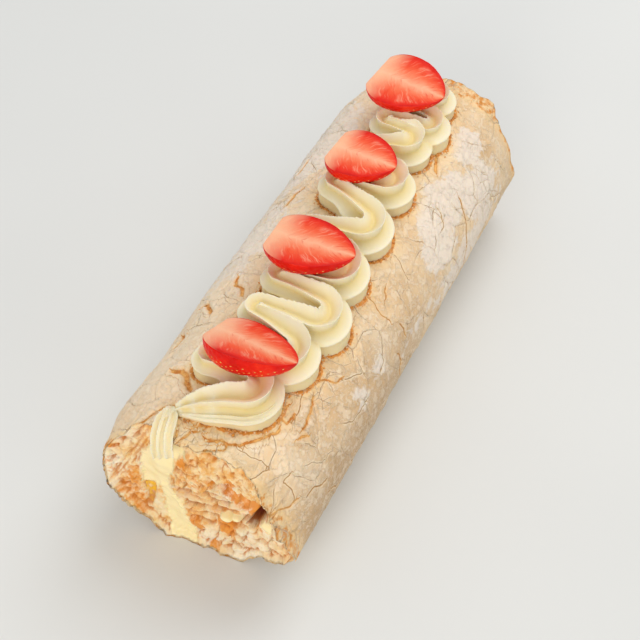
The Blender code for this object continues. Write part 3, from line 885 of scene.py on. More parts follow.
def dress_sheet(piece, relief):
    """Keeps the fields that the meringue's material reads, then carves cracks and plates."""
    mesh = piece.data
    flat = read_vectors(mesh, "sheet_place")[:, :2]
    along, around = flat[:, 0], flat[:, 1]
    inside = read_numbers(mesh, "inside")
    nearest, side, wide, heat = crack_fields(flat)
    foot = rope_distances(mesh)[2] / MM
    height = mesh_places(mesh)[:, 2] / MM
    rims = np.minimum(along - NEAR_RIM, FAR_RIM - along)
    # Orange by the piping's foot, partly toast and partly painted contact shadow; toast at the broken rims
    foot_toast_and_shadow = (0.75 * ramp(foot, 2.4, 0.6) + 0.3 * ramp(foot, 8.0, 1.0)) * ramp(height, 55.0, 65.0)
    toast = np.maximum(foot_toast_and_shadow, 0.6 * np.exp(-np.maximum(rims, 0.0) / 3.0))
    off_base = ramp(height, 0.0, 3.0)
    # Painted shade and light: 1 low on the right flank near the torn end, painted darker as shade, and -1
    # on the left flank, painted paler as light
    shade = ramp(around, arc_of(42.0), arc_of(42.0) - 30.0) * ramp(along, 40.0, -50.0)
    shade -= ramp(around, arc_of(112.0), arc_of(112.0) + 20.0)
    for name, values in (("crack_side", side), ("crack_width", wide), ("crack_heat", heat),
                         ("sugar", sugar_at(flat)), ("toast", toast), ("shade", shade),
                         ("relief", (1.0 - inside) * relief * off_base)):
        write_numbers(mesh, name, values)
    deep = np.minimum(wide, 1.0) * (0.5 + 0.45 * heat) * ramp(nearest - wide, 0.9, 0.0)
    lips = 0.45 * wide * np.exp(-((nearest - wide - 1.6) / 1.1) ** 2)
    push_along_normals(mesh, (lips - deep) * (1.0 - inside) * off_base * MM)
    if relief:
        carve = piece.modifiers.new("relief", "NODES")
        carve.node_group = relief_nodes()
        piece.data = evaluated_mesh(piece)
        piece.modifiers.clear()
        piece.data.shade_smooth()
        bpy.data.meshes.remove(mesh)


# %% [markdown]
# ## Baked meringue
# Baked meringue is a foam of egg white and sugar. Its skin is dry, smooth and matt with a faint gloss, tan
# where it browned and nearly white where icing sugar stuck. Cracks show toasted orange crumb. The inside
# is pale, soft and full of small bubbles, with honey-brown places.

# %% Material: baked meringue
def meringue_material(name):
    """Dry skin outside and soft crumb inside, from the fields kept on the mesh."""
    material, tree, place = new_material(name)
    flat = add(tree, "Attribute", attribute_name="sheet_place").outputs["Vector"]
    inside, side, width, heat, sugar, toast, shade = [
        add(tree, "Attribute", attribute_name=field).outputs["Fac"]
        for field in ("inside", "crack_side", "crack_width", "crack_heat", "sugar", "toast", "shade")]
    fields = plate_nodes(tree, flat)

    # Skin: warm tan, each plate a little different. Painted shade darkens it low on the right flank and
    # painted light makes it paler on the left
    clouds = add(tree, "TexNoise", {"Vector": place, "Scale": 38.0, "Detail": 3.0, "Roughness": 0.6})
    skin = add(tree, "ValToRGB", {0: clouds}, stops=[(0.32, "D9B68A"), (0.48, "E6C79E"), (0.66, "F0D8B6")])
    tint = add(tree, "MapRange", {0: fields["big_tint"], 3: 0.90, 4: 1.07})
    surface = add(tree, "VectorMath", {0: skin, "Scale": tint}, operation="SCALE")
    # Painted shade low on the right flank and painted light on the left, from the kept shade number
    painted_flank_shade = add(tree, "MapRange", {0: shade, 4: 0.8})
    painted_flank_light = add(tree, "MapRange", {0: shade, 1: 0.0, 2: -1.0, 4: 0.45})

    # Flakes: patches a few millimetres across where the outermost skin has peeled or curled up
    flakes = add(tree, "TexNoise",
                 {"Vector": flat, "Scale": 0.22, "Detail": 6.0, "Roughness": 0.68, "Distortion": 0.6})
    peeled = add(tree, "MapRange", {0: flakes, 1: 0.515, 2: 0.535})
    flaked = add(tree, "Math", {0: peeled, 1: 0.35}, operation="MULTIPLY")

    # Icing sugar: soft blobs from the mesh with ragged, peeled edges, and grains under a millimetre across
    ragged = add(tree, "TexNoise",
                 {"Vector": flat, "Scale": 0.11, "Detail": 7.0, "Roughness": 0.66, "Distortion": 0.8})
    dusted = add(tree, "Math", {0: sugar, 1: ragged}, operation="ADD")
    dusted = add(tree, "MapRange", {0: dusted, 1: 0.95, 2: 1.03, 4: 0.80})
    grains = add(tree, "TexNoise", {"Vector": place, "Scale": 900.0, "Detail": 2.0})
    powder = add(tree, "MapRange", {0: grains, 1: 0.56, 2: 0.70, 4: 0.30})

    # Toast at the rims and by the piping's foot: a pale peach halo, then a ragged orange line; by the foot
    # the orange and the darkest brown are partly painted contact shadow
    scorch = add(tree, "TexNoise", {"Vector": place, "Scale": 260.0, "Detail": 4.0, "Roughness": 0.65})
    uneven = add(tree, "MapRange", {0: scorch, 1: 0.3, 2: 0.7, 3: -0.3, 4: 0.3})
    halo = add(tree, "MapRange", {0: toast, 1: 0.0, 2: 0.35, 4: 0.75})
    toast_and_contact_shadow = add(tree, "Math", {0: toast, 1: uneven}, operation="ADD")
    toast_and_painted_shade = add(tree, "MapRange", {0: toast_and_contact_shadow, 1: 0.52, 2: 0.72, 4: 0.95})
    burnt_and_contact_shadow = add(tree, "MapRange", {0: toast_and_contact_shadow, 1: 0.95, 2: 1.15, 4: 0.8})

    # Fine cracks between plates: thin brown lines with a pale lip beside them, a painted highlight, which
    # come and go
    fading = add(tree, "TexNoise", {"Vector": place, "Scale": 70.0, "Detail": 3.0})
    shown = add(tree, "MapRange", {0: fading, 1: 0.45, 2: 0.6, 3: 0.05, 4: 1.0})
    lines, lips = 0.0, 0.0
    for edge, thick, share in (("big", 0.26, 1.0), ("small", 0.18, fields["broken"])):
        line = add(tree, "MapRange", {0: fields[edge], 1: 0.3 * thick, 2: thick, 3: share, 4: 0.0})
        lip = add(tree, "MapRange", {0: fields[edge], 1: thick, 2: 4.0 * thick, 3: share, 4: 0.0})
        lines = add(tree, "Math", {0: lines, 1: line}, operation="MAXIMUM")
        lips = add(tree, "Math", {0: lips, 1: lip}, operation="MAXIMUM")
    lines = add(tree, "Math", {0: lines, 1: shown}, operation="MULTIPLY")
    lips = add(tree, "Math", {0: lips, 1: shown}, operation="MULTIPLY")
    lips = add(tree, "Math", {0: lips, 1: 0.55}, operation="MULTIPLY")
    drawn = add(tree, "Math", {0: lines, 1: 0.7}, operation="MULTIPLY")

    # Main cracks: as wide as their routes say, brown or orange by their heat
    wobble = add(tree, "TexNoise", {"Vector": place, "Scale": 650.0, "Detail": 4.0, "Roughness": 0.7})
    wobble = add(tree, "MapRange", {0: wobble, 1: 0.25, 2: 0.75, 3: -0.35, 4: 0.35})
    wobble = add(tree, "Math", {0: wobble, 1: heat}, operation="MULTIPLY")
    away = add(tree, "Math", {0: side}, operation="ABSOLUTE")
    away = add(tree, "Math", {0: away, 1: wobble}, operation="ADD")
    away = add(tree, "Math", {0: away, 1: width}, operation="SUBTRACT")
    # Painted highlight: a pale lip beside each main crack, warmer where the crack is hot
    painted_crack_lip_highlight = add(tree, "MapRange", {0: away, 1: 0.0, 2: 0.9, 3: 0.7, 4: 0.0})
    lip_highlight_tone = add(tree, "ValToRGB", {0: heat}, stops=[(0.0, "F7E6C8"), (1.0, "F0BB76")])
    gash = add(tree, "MapRange", {0: away, 1: -0.15, 2: 0.12, 3: 0.92, 4: 0.0})
    seared = add(tree, "MapRange", {0: scorch, 1: 0.42, 2: 0.60})
    hot = add(tree, "Mix", {0: seared, 6: colour("CF7A24"), 7: colour("F2B768")}, data_type="RGBA")
    gash_tone = add(tree, "Mix", {0: heat, 6: colour("B5874C"), 7: hot}, data_type="RGBA")

    # Crumb: pale foam with honey-brown places and small bubbles
    honey = add(tree, "TexNoise", {"Vector": place, "Scale": 55.0, "Detail": 4.0, "Roughness": 0.62})
    crumb = add(tree, "ValToRGB", {0: honey},
                stops=[(0.36, "F6E9D2"), (0.52, "F3DDB9"), (0.62, "E9BE83"), (0.74, "D9954C")])
    bubbles = add(tree, "TexVoronoi", {"Vector": place, "Scale": 620.0, "Randomness": 1.0})
    holes = add(tree, "MapRange", {0: bubbles, 1: 0.12, 2: 0.34, 3: 0.3, 4: 0.0})
    baked = add(tree, "Math", {0: toast, 1: honey}, operation="MULTIPLY")
    baked = add(tree, "MapRange", {0: baked, 1: 0.15, 2: 0.5, 4: 0.9})
    for amount, code in ((holes, "CE8E45"), (baked, "E08F35")):
        crumb = add(tree, "Mix", {0: amount, 6: crumb, 7: colour(code)}, data_type="RGBA")
    torn_edge = add(tree, "MapRange", {0: inside, 1: 0.02, 2: 0.5})

    # The tones that lie over the skin, from the lowest to the topmost: painted flank shade and light first,
    # then among the rest painted highlights on crack lips and painted contact shadow at the piping's foot
    tones = [(painted_flank_shade, colour("C2A078")), (painted_flank_light, colour("FAE4C6")), (flaked, colour("F6E6CE")),
             (dusted, colour("EDE0D2")), (powder, colour("F8F0E6")), (halo, colour("F3CE97")),
             (toast_and_painted_shade, colour("DE8F38")), (burnt_and_contact_shadow, colour("A65C18")), (lips, colour("F7E7CB")),
             (drawn, colour("B98446")), (painted_crack_lip_highlight, lip_highlight_tone), (gash, gash_tone), (torn_edge, crumb)]
    for amount, tone in tones:
        surface = add(tree, "Mix", {0: amount, 6: surface, 7: tone}, data_type="RGBA")

    # Relief too fine for the mesh: lines sink, grains stand up, bubbles are pits in the crumb
    relief = add(tree, "Math", {0: grains, 1: 0.15}, operation="MULTIPLY")
    curled = add(tree, "Math", {0: peeled, 1: dusted}, operation="ADD")
    relief = add(tree, "Math", {0: curled, 1: 0.22, 2: relief}, operation="MULTIPLY_ADD")
    wrinkles = add(tree, "TexNoise", {"Vector": place, "Scale": 420.0, "Detail": 4.0, "Roughness": 0.6})
    relief = add(tree, "Math", {0: wrinkles, 1: 0.5, 2: relief}, operation="MULTIPLY_ADD")
    sunk = add(tree, "Math", {0: lines, 1: gash}, operation="MAXIMUM")
    relief = add(tree, "Math", {0: sunk, 1: -0.55, 2: relief}, operation="MULTIPLY_ADD")
    rough = add(tree, "TexNoise", {"Vector": place, "Scale": 240.0, "Detail": 5.0, "Roughness": 0.7})
    pits = add(tree, "MapRange", {0: bubbles, 1: 0.0, 2: 0.5, 3: -0.6, 4: 0.0})
    foam = add(tree, "Math", {0: rough, 1: pits}, operation="ADD")
    relief = add(tree, "Mix", {0: torn_edge, 2: relief, 3: foam}, data_type="FLOAT")
    bump = add(tree, "Bump", {"Height": relief, "Distance": 0.9 * MM, "Strength": 0.8})
    gloss = add(tree, "MapRange", {0: torn_edge, 3: 0.52, 4: 0.8})
    shader = add(tree, "BsdfPrincipled", {
        "Base Color": surface, "Roughness": gloss, "Normal": bump, "IOR": 1.45, "Specular IOR Level": 0.3,
        "Subsurface Weight": 0.12, "Subsurface Scale": 2.5 * MM, "Subsurface Radius": (1.0, 0.6, 0.3)})
    add(tree, "OutputMaterial", {0: shader})
    return material


baked_meringue = meringue_material("baked_meringue")
print(baked_meringue.name, "of", len(baked_meringue.node_tree.nodes), "nodes")

# %% [markdown]
# A finished piece is a smooth mesh. Its object sits at the origin and rides on the roulade's one body. The
# crust comes first, and its cracks and plates are carved once it is an object, because the relief is a
# modifier.

# %% The crust as a piece
def show_mesh(mesh, name, material):
    """A smooth piece from a finished mesh. It rides on the roulade's one body."""
    mesh.materials.clear()
    mesh.materials.append(material)
    mesh.shade_smooth()
    piece = bpy.data.objects.new(name, mesh)
    bpy.context.scene.collection.objects.link(piece)
    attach(piece, "root")
    print(name, triangles_in(mesh), "triangles")
    return piece


def finish_piece(bm, name, material):
    """A smooth piece from a bmesh, which is freed."""
    mesh = bpy.data.meshes.new(name)
    bm.to_mesh(mesh)
    bm.free()
    return show_mesh(mesh, name, material)


crust = finish_piece(outer_bm, "crust", baked_meringue)
dress_sheet(crust, 1.0)
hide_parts("meringue_sheet")

# %% [markdown]
# ## The coil inside
# Past one turn the sheet is inside the roll. Only its ends show, so the stations crowd there. Its crust side
# shows in the hollow beneath the top wrap at the torn end.

# %% The coil
COIL_STEP = 0.8 * MM


def coil_ways(near, middle, far):
    """Ways along the coil: fine at the near end, coarse in the middle, fine again at the far end."""
    first = even(0.0, 0.1, near)
    last = even(0.94, 1.0, far)
    return first + even(0.1, 0.94, middle)[1:-1] + last


def coil_swell(turn, x):
    """Small swells of the coil's crust side."""
    return noise.noise(Vector((x / MM / 14.0, turn * 14.0, 5.0))) * 1.1 * MM


coil_turns = turn_steps(1.0, SHEET_TURNS, 2.0 * COIL_STEP, 2.0 * COIL_STEP)
coil_stations = profile_stations(coil_ways(30, 8, 14))


def coil_place(turn, station):
    """Where the coil's station lies."""
    return sheet_place(turn, station, coil_swell)


coil_bm = build_sheet(coil_turns, coil_stations, coil_place)
coil = finish_piece(coil_bm, "coil", baked_meringue)
dress_sheet(coil, 0.0)
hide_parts("meringue_sheet")

# %% [markdown]
# ## Crumbs
# A lump of crumb is a small round mesh pushed in and out by noise. Its finish comes from the same kept
# numbers as the sheet's, so the meringue's material suits it.

# %% One lump of crumb
def place_matrix(centre, facing, spin):
    """The matrix that lays a thing at a centre in millimetres, its own Z towards a direction."""
    turned = Vector(facing).normalized().to_track_quat("Z", "Y").to_matrix().to_4x4()
    place = Matrix.Translation(Vector(centre) * MM + CENTRING)
    return place @ turned @ Matrix.Rotation(math.radians(spin), 4, "Z")


def chip_layers(bm):
    """The fields that the meringue's material reads, on a bmesh of loose pieces."""
    names = ("inside", "toast", "crack_side", "crack_width", "crack_heat", "sugar")
    layers = {name: bm.verts.layers.float.new(name) for name in names}
    layers["sheet_place"] = bm.verts.layers.float_vector.new("sheet_place")
    return layers


def add_lump(bm, layers, chance, centre, radius, toast):
    """Adds a lump of crumb of a radius in millimetres."""
    seed = Vector((chance.uniform(0, 90), chance.uniform(0, 90), chance.uniform(0, 90)))
    made = bmesh.ops.create_icosphere(bm, subdivisions=1, radius=1.0)["verts"]
    stretch = Vector((chance.uniform(0.7, 1.2), chance.uniform(0.7, 1.2), chance.uniform(0.6, 1.0)))
    for vert in made:
        swell = 1.0 + 0.45 * noise.noise(seed + vert.co * 1.3) + 0.22 * noise.noise(seed + vert.co * 3.1)
        vert.co = vert.co * stretch * swell * radius * MM
        vert[layers["inside"]] = 1.0
        vert[layers["toast"]] = toast
        vert[layers["crack_side"]] = CRACK_REACH
        vert[layers["sheet_place"]] = seed
    spin = place_matrix(centre, [chance.uniform(-1, 1) for _ in range(3)], chance.uniform(0, 360))
    bmesh.ops.transform(bm, matrix=spin, verts=made)


# %% [markdown]
# ## The torn end
# The torn end is one continuous relief: skin broken into plates round the rim, a dragged wall on the left,
# glossy cream that bulges and runs down, a heap of crumb on the sunken coil, slabs below it and a dark
# hollow under the top flap. It is modelled as a round grid that covers the end. Each part is an outline in
# the plane of the end (y, z in millimetres), with its own depth, roughness and finish.

# %% Outlines of the parts of the torn end
TORN_PARTS = {
    "striated": [(23, 87), (20, 80), (24, 68), (31, 57), (35, 45), (44, 33), (50, 28), (46, 38), (39, 52),
                 (31, 71)],
    "honey": [(43, 36), (34, 46), (34, 31), (31, 29), (31, 16), (30, 10), (36, 3), (43, 9), (48, 20)],
    "mixed": [(27, 34), (18, 42), (17, 36), (19, 25), (19, 12), (23, 2), (28, 5), (30, 16)],
    "gold": [(31, 33), (27, 36), (26, 27), (29, 12), (32, 15), (33, 25)],
    "cream": [(33, 47), (31, 57), (25, 66), (19, 72), (13, 80), (7, 80), (5, 73), (10, 66), (12, 59),
              (15, 48), (18, 41), (25, 34), (33, 30)],
    "run": [(19, 40), (15, 35), (12, 27), (8, 18), (5, 10), (3, 1), (9, -6), (14, -4), (18, 3), (20, 13),
            (21, 28)],
    "heap": [(12, 60), (9, 72), (2, 77), (-3, 75), (-6, 67), (-9, 61), (-9, 53), (-2, 49), (5, 46), (15, 45)],
    "amber": [(12, 66), (7, 72), (4, 69), (8, 60)],
    "flap": [(-1, 79), (-8, 90), (-20, 88), (-31, 82), (-37, 74), (-38, 62), (-33, 60), (-27, 61), (-22, 61),
             (-19, 67), (-12, 62), (-8, 64), (-4, 69)],
    "slabs": [(17, 46), (4, 48), (-8, 49), (-18, 41), (-27, 40), (-26, 30), (-10, 21), (-1, 17), (7, 17),
              (13, 28)],
    "hollow": [(-9, 60), (-13, 63), (-18, 62), (-22, 60), (-28, 59), (-37, 60), (-36, 54), (-28, 40),
               (-23, 40), (-18, 42), (-13, 46), (-9, 50)],
    # glow and gap are painted shade deep in the hollow: glow deeper orange, gap near black
    "glow": [(-27, 56), (-33, 60), (-38, 60), (-31, 43), (-26, 42)],
    "gap": [(-36, 60), (-40, 60), (-37, 48), (-29, 33), (-25, 33), (-30, 46)],
    "foot": [(4, 18), (-9, 22), (-21, 27), (-27, 31), (-35, 44), (-44, 52), (-52, 40), (-50, 12), (-35, -2),
             (-12, -4), (3, -4)],
}
# Toasted spots: y, z, radius and strength
TORN_SPOTS = [(4, 14, 6, 0.9), (-14, 23, 7, 1.0), (-6, 1, 4, 0.9), (-20, 18, 4, 0.9), (-34, 47, 4, 1.0),
              (-31, 36, 4, 0.7), (-40, 33, 4, 0.6), (45, 59, 4, 1.0), (36, 78, 5, 1.0), (20, 86, 4, 1.0),
              (-18, 66, 4, 0.9), (-12, 88, 5, 0.8), (26, 66, 5, 0.5), (2, 51, 5, 0.5), (-8, 58, 4, 0.8)]
# Blobs of cream: y, z, half width and half height
BLOBS = [(-38, 40, 5.5, 4.5), (-14, 32, 4.0, 2.6), (-20, 36, 3.0, 2.0)]

# %% [markdown]
# A part covers its outline and fades out over a soft edge. Voronoi cells and smooth noise give its grain.

# %% Weights and patterns in the plane of the end
def region(outline, places, soft):
    """1 inside an outline, 0 outside it, easing over an edge so many millimetres wide."""
    inside = np.zeros(len(places), bool)
    nearest = np.full(len(places), 1000.0)
    for (y0, z0), (y1, z1) in zip(outline, outline[1:] + outline[:1]):
        start, along = np.array([y0, z0], float), np.array([y1 - y0, z1 - z0], float)
        share = np.clip((places - start) @ along / (along @ along), 0.0, 1.0)
        away = places - start - share[:, None] * along
        nearest = np.minimum(nearest, np.hypot(away[:, 0], away[:, 1]))
        crossed = (z0 > places[:, 1]) != (z1 > places[:, 1])
        inside ^= crossed & (places[:, 0] < (y1 - y0) * (places[:, 1] - z0) / (z1 - z0 + 1e-9) + y0)
    signed = np.where(inside, nearest, -nearest)
    t = np.clip(signed / soft * 0.5 + 0.5, 0.0, 1.0)
    return t * t * (3.0 - 2.0 * t)


def cells(places, size, seed):
    """Voronoi cells: distance to the middle and to the edge in millimetres, offset and three chances."""
    chance = np.random.default_rng(seed)
    across = np.arange(-62.0, 66.0, size)
    middles = np.array([(y, z) for y in across for z in across + 40.0])
    middles = middles + chance.uniform(-0.48, 0.48, middles.shape) * size
    values = chance.uniform(0.0, 1.0, (len(middles), 3))
    tree = tree_of([(y, z, 0.0) for y, z in middles])
    first, edge, offset, picked = [], [], [], []
    for y, z in places:
        (spot, index, near), (_, _, second) = tree.find_n((y, z, 0.0), 2)
        first.append(near)
        edge.append((second - near) / 2.0)
        offset.append((y - spot[0], z - spot[1]))
        picked.append(values[index])
    return np.array(first), np.array(edge), np.array(offset), np.array(picked)


def rough(places, scale, seed):
    """Smooth noise in the plane of the end, from about -1 to 1."""
    return np.array([noise.noise(Vector((y / scale, z / scale, seed))) for y, z in places])


# %% [markdown]
# The depth is put together like paint: each part in turn covers what lies below it by its weight. Broken
# skin takes tilted plates, crumb takes round lumps in two sizes, the dragged wall takes fine grooves.

# %% Depth and finish of the torn end
def torn_relief(flat, share):
    """Depth behind the rim in millimetres and the finish fields, for places in the plane of the end."""
    warped = flat + np.stack([rough(flat, 6.0, 1.0) * 1.6 + rough(flat, 2.0, 2.0) * 0.7,
                              rough(flat, 6.0, 3.0) * 1.6 + rough(flat, 2.0, 4.0) * 0.7], axis=1)
    part = {name: region(outline, warped, 1.2) for name, outline in TORN_PARTS.items()}
    part["cream"] = region(TORN_PARTS["cream"], warped, 3.0)
    part["run"] = region(TORN_PARTS["run"], warped, 2.5)
    y, z = flat[:, 0], flat[:, 1]

    _, plate_edge, tilt, pick = cells(warped, 7.0, 5)
    plates = (pick[:, 0] - 0.5) * 2.4 + (pick[:, 1] - 0.5) * tilt[:, 0] * 0.7
    plates += (pick[:, 2] - 0.5) * tilt[:, 1] * 0.7
    plates += 1.7 * ramp(plate_edge, 0.6, 0.0)
    _, chip_edge, chip_tilt, chip = cells(warped, 3.2, 6)
    chips = (chip[:, 0] - 0.5) * 1.5 + (chip[:, 1] - 0.5) * chip_tilt[:, 0] * 1.0
    chips += 0.5 * ramp(chip_edge, 0.5, 0.0)
    lump_near, _, _, lump = cells(warped, 3.4, 7)
    lumps = 2.4 * (lump[:, 0] - 0.6) - 1.5 * np.sqrt(np.clip(1.0 - (lump_near / 2.6) ** 2, 0.0, 1.0))
    bead_near, _, _, bead = cells(warped, 1.7, 8)
    beads = 0.7 * (bead[:, 0] - 0.5) - 0.7 * np.sqrt(np.clip(1.0 - (bead_near / 1.3) ** 2, 0.0, 1.0))
    soft = rough(flat, 7.0, 5.0)
    fine = rough(flat, 1.5, 6.0)

    depth = 2.5 + plates + 0.5 * chips
    # dark marks the gap under the flap, painted near black as shadow
    finish = {name: np.zeros(len(flat)) for name in ("cream", "gold", "toast", "dark")}
    finish["skin"] = np.full(len(flat), 0.8)
    finish["toast"] += 0.45 * (pick[:, 1] > 0.85)

    def cover(name, new_depth, **values):
        """Lays a part over what is there: its depth, and the finish fields that it names."""
        nonlocal depth
        weight = part[name]
        depth = depth * (1.0 - weight) + new_depth * weight
        for key in finish:
            finish[key] = finish[key] * (1.0 - weight) + values.get(key, 0.0) * weight

    across = 0.93 * y + 0.37 * z + 0.9 * rough(flat, 12.0, 9.0)
    grooves = 0.42 * np.sin(across * 2.0 * np.pi / 2.3 + soft * 2.0) + 0.2 * fine
    inner = np.clip((46.0 - across * 0.75) / 16.0, 0.0, 1.0)
    cover("striated", 2.6 + 6.0 * inner + grooves, skin=0.3, toast=0.30)
    crumbly = lumps * 0.7 + beads
    cover("foot", 3.0 + plates + 0.4 * chips, skin=0.85)
    cover("honey", 6.0 + crumbly, toast=0.62)
    cover("mixed", 4.5 + 0.6 * crumbly + soft, cream=0.3, toast=0.1)
    cover("gold", 7.0 + soft * 0.5, gold=1.0, cream=0.55)
    leaning = np.stack([(y - 0.15 * z) / 2.3, z + 0.12 * y + 1.2 * rough(flat, 9.0, 11.0)], axis=1)
    _, slab_edge, slab_tilt, slab = cells(leaning, 4.3, 9)
    slabs = (slab[:, 0] - 0.5) * 3.4 - 0.55 * slab_tilt[:, 1] + (slab[:, 1] - 0.5) * 0.5 * slab_tilt[:, 0]
    slabs += 2.0 * ramp(slab_edge, 0.55, 0.0) + 0.3 * chips
    cover("slabs", 5.5 + slabs + 0.10 * (z - 30.0), skin=0.5, toast=0.05)
    cover("heap", 3.6 + 1.5 * lumps + 0.8 * beads, skin=0.15, toast=0.42)
    cover("amber", 3.4 + 0.4 * beads, toast=1.0, gold=0.4)
    cover("flap", 3.0 + 0.9 * beads + 0.5 * lumps + 0.3 * plates, toast=0.12)
    panels = 1.2 * (y < -19.0) - 1.6 * (y < -25.0)
    slope = 6.0 + 9.0 * ramp(z, 41.0, 59.0)
    # Painted shade: the hollow under the flap turns orange through its toast number
    cover("hollow", slope + panels + 0.4 * soft, skin=1.0, toast=0.85)
    # Painted shade: deeper orange towards the hollow's back
    part["glow"] = np.minimum(part["glow"], part["hollow"])
    cover("glow", slope + 0.5 * soft, skin=0.4, toast=1.0)
    # Painted shadow: the gap at the hollow's back is painted near black
    cover("gap", 13.0 + 0.5 * soft, dark=1.0, toast=1.0)
    cover("run", 3.6 + 1.3 * soft + 0.2 * rough(flat, 3.0, 12.0), cream=1.0)
    dome = np.exp(-((y - 18.0) / 9.0) ** 2 - ((z - 56.0) / 14.0) ** 2)
    cover("cream", 5.2 - 3.4 * dome + 0.8 * soft, cream=1.0)
    for blob_y, blob_z, wide, high in BLOBS:
        away = ((y - blob_y) / wide) ** 2 + ((z - blob_z) / high) ** 2
        part["blob"] = np.clip(1.6 - 1.3 * away, 0.0, 1.0)
        cover("blob", 1.2 + 1.8 * np.clip(away, 0.0, 1.2), cream=1.0)
    for spot_y, spot_z, radius, strength in TORN_SPOTS:
        away = np.hypot(warped[:, 0] - spot_y, warped[:, 1] - spot_z) / radius
        glow = strength * np.clip(1.35 - away, 0.0, 1.0) * (1.0 - 0.9 * finish["cream"])
        finish["toast"] = np.maximum(finish["toast"], glow)
    rim = np.clip((1.0 - share) / 0.05, 0.0, 1.0)
    return depth * rim + 0.6, finish


# %% [markdown]
# The grid runs from the middle of the end out to the rim, back along the inside of the skin and to the
# middle again behind, so the piece is closed. It tucks in just under the skin.

# %% The torn end as a piece
TORN_AROUND, TORN_OUT = 430, 84
# X of the end's middle in millimetres, before its depth is added
TORN_MIDDLE = -143.5


def crevices(depths, spots):
    """How far each place lies behind its surroundings, for painted shade: 1 in a crevice, 0 on an open face.
    """
    rows, columns = np.array(spots).T
    sheet = np.zeros((rows.max() + 1, TORN_AROUND + 1))
    sheet[rows, columns] = depths
    eased = sheet[:, :-1].copy()
    for _ in range(3):
        eased = (eased + np.roll(eased, 2, axis=1) + np.roll(eased, -2, axis=1)) / 3.0
        padded = np.pad(eased, ((2, 2), (0, 0)), mode="edge")
        eased = (padded[:-4] + padded[2:-2] + padded[4:]) / 3.0
    eased = np.column_stack([eased, eased[:, 0]])
    return np.clip((depths - eased[rows, columns]) * 1.5 - 0.2, 0.0, 1.0)


def build_torn_end():
    """The torn end as a closed mesh with its finish fields."""
    rows = [("front", way) for way in even(0.0, 1.0, TORN_OUT)] + [("side", 0.3), ("side", 1.0)]
    rows += [("rear", 0.6), ("rear", 0.0)]
    bm = bmesh.new()
    bmesh.ops.create_grid(bm, x_segments=TORN_AROUND, y_segments=len(rows) - 1, size=1.0)
    flat, shares, starts, kinds, spots = [], [], [], [], []
    for vert in bm.verts:
        column, row = (vert.co.x + 1.0) / 2.0, round((vert.co.y + 1.0) / 2.0 * (len(rows) - 1))
        spots.append((row, round(column * TORN_AROUND)))
        angle = column * 360.0 + SEAM_ANGLE
        kind, way = rows[row]
        turn = (angle - SEAM_ANGLE) / 360.0 % 1.0
        rim = near_rim(turn)
        depth = max(crust_swell(turn, rim), 0.0) + 0.7 * MM
        share = way if kind in ("front", "rear") else 1.0
        reach = (outline_reach(angle) - depth) * share
        flat.append(((CORE_Y - reach * math.cos(math.radians(angle))) / MM,
                     max((CORE_Z + reach * math.sin(math.radians(angle))) / MM, 0.5)))
        shares.append(share)
        outer = smoothstep(0.72, 1.0, share)
        starts.append(rim / MM * outer + TORN_MIDDLE * (1.0 - outer))
        kinds.append((kind, way))
    depths, finish = torn_relief(np.array(flat), np.array(shares))
    # The crevice number darkens crevices to deep orange, partly toast and partly painted shade
    finish["crevice"] = crevices(depths, spots)
    for vert, (y, z), start, (kind, way), depth in zip(bm.verts, flat, starts, kinds, depths):
        x = start + depth
        if kind == "side":
            x += (TORN_BACK / MM - x) * way
        if kind == "rear":
            x = TORN_BACK / MM
        vert.co = Vector((x, y, z)) * MM + CENTRING
    mesh = bpy.data.meshes.new("torn_end")
    layers = {name: bm.verts.layers.float.new(name) for name in finish}
    for index, vert in enumerate(bm.verts):
        for name, layer in layers.items():
            vert[layer] = finish[name][index]
    bmesh.ops.remove_doubles(bm, verts=bm.verts, dist=0.002 * MM)
    bmesh.ops.recalc_face_normals(bm, faces=bm.faces)
    bm.to_mesh(mesh)
    bm.free()
    return mesh
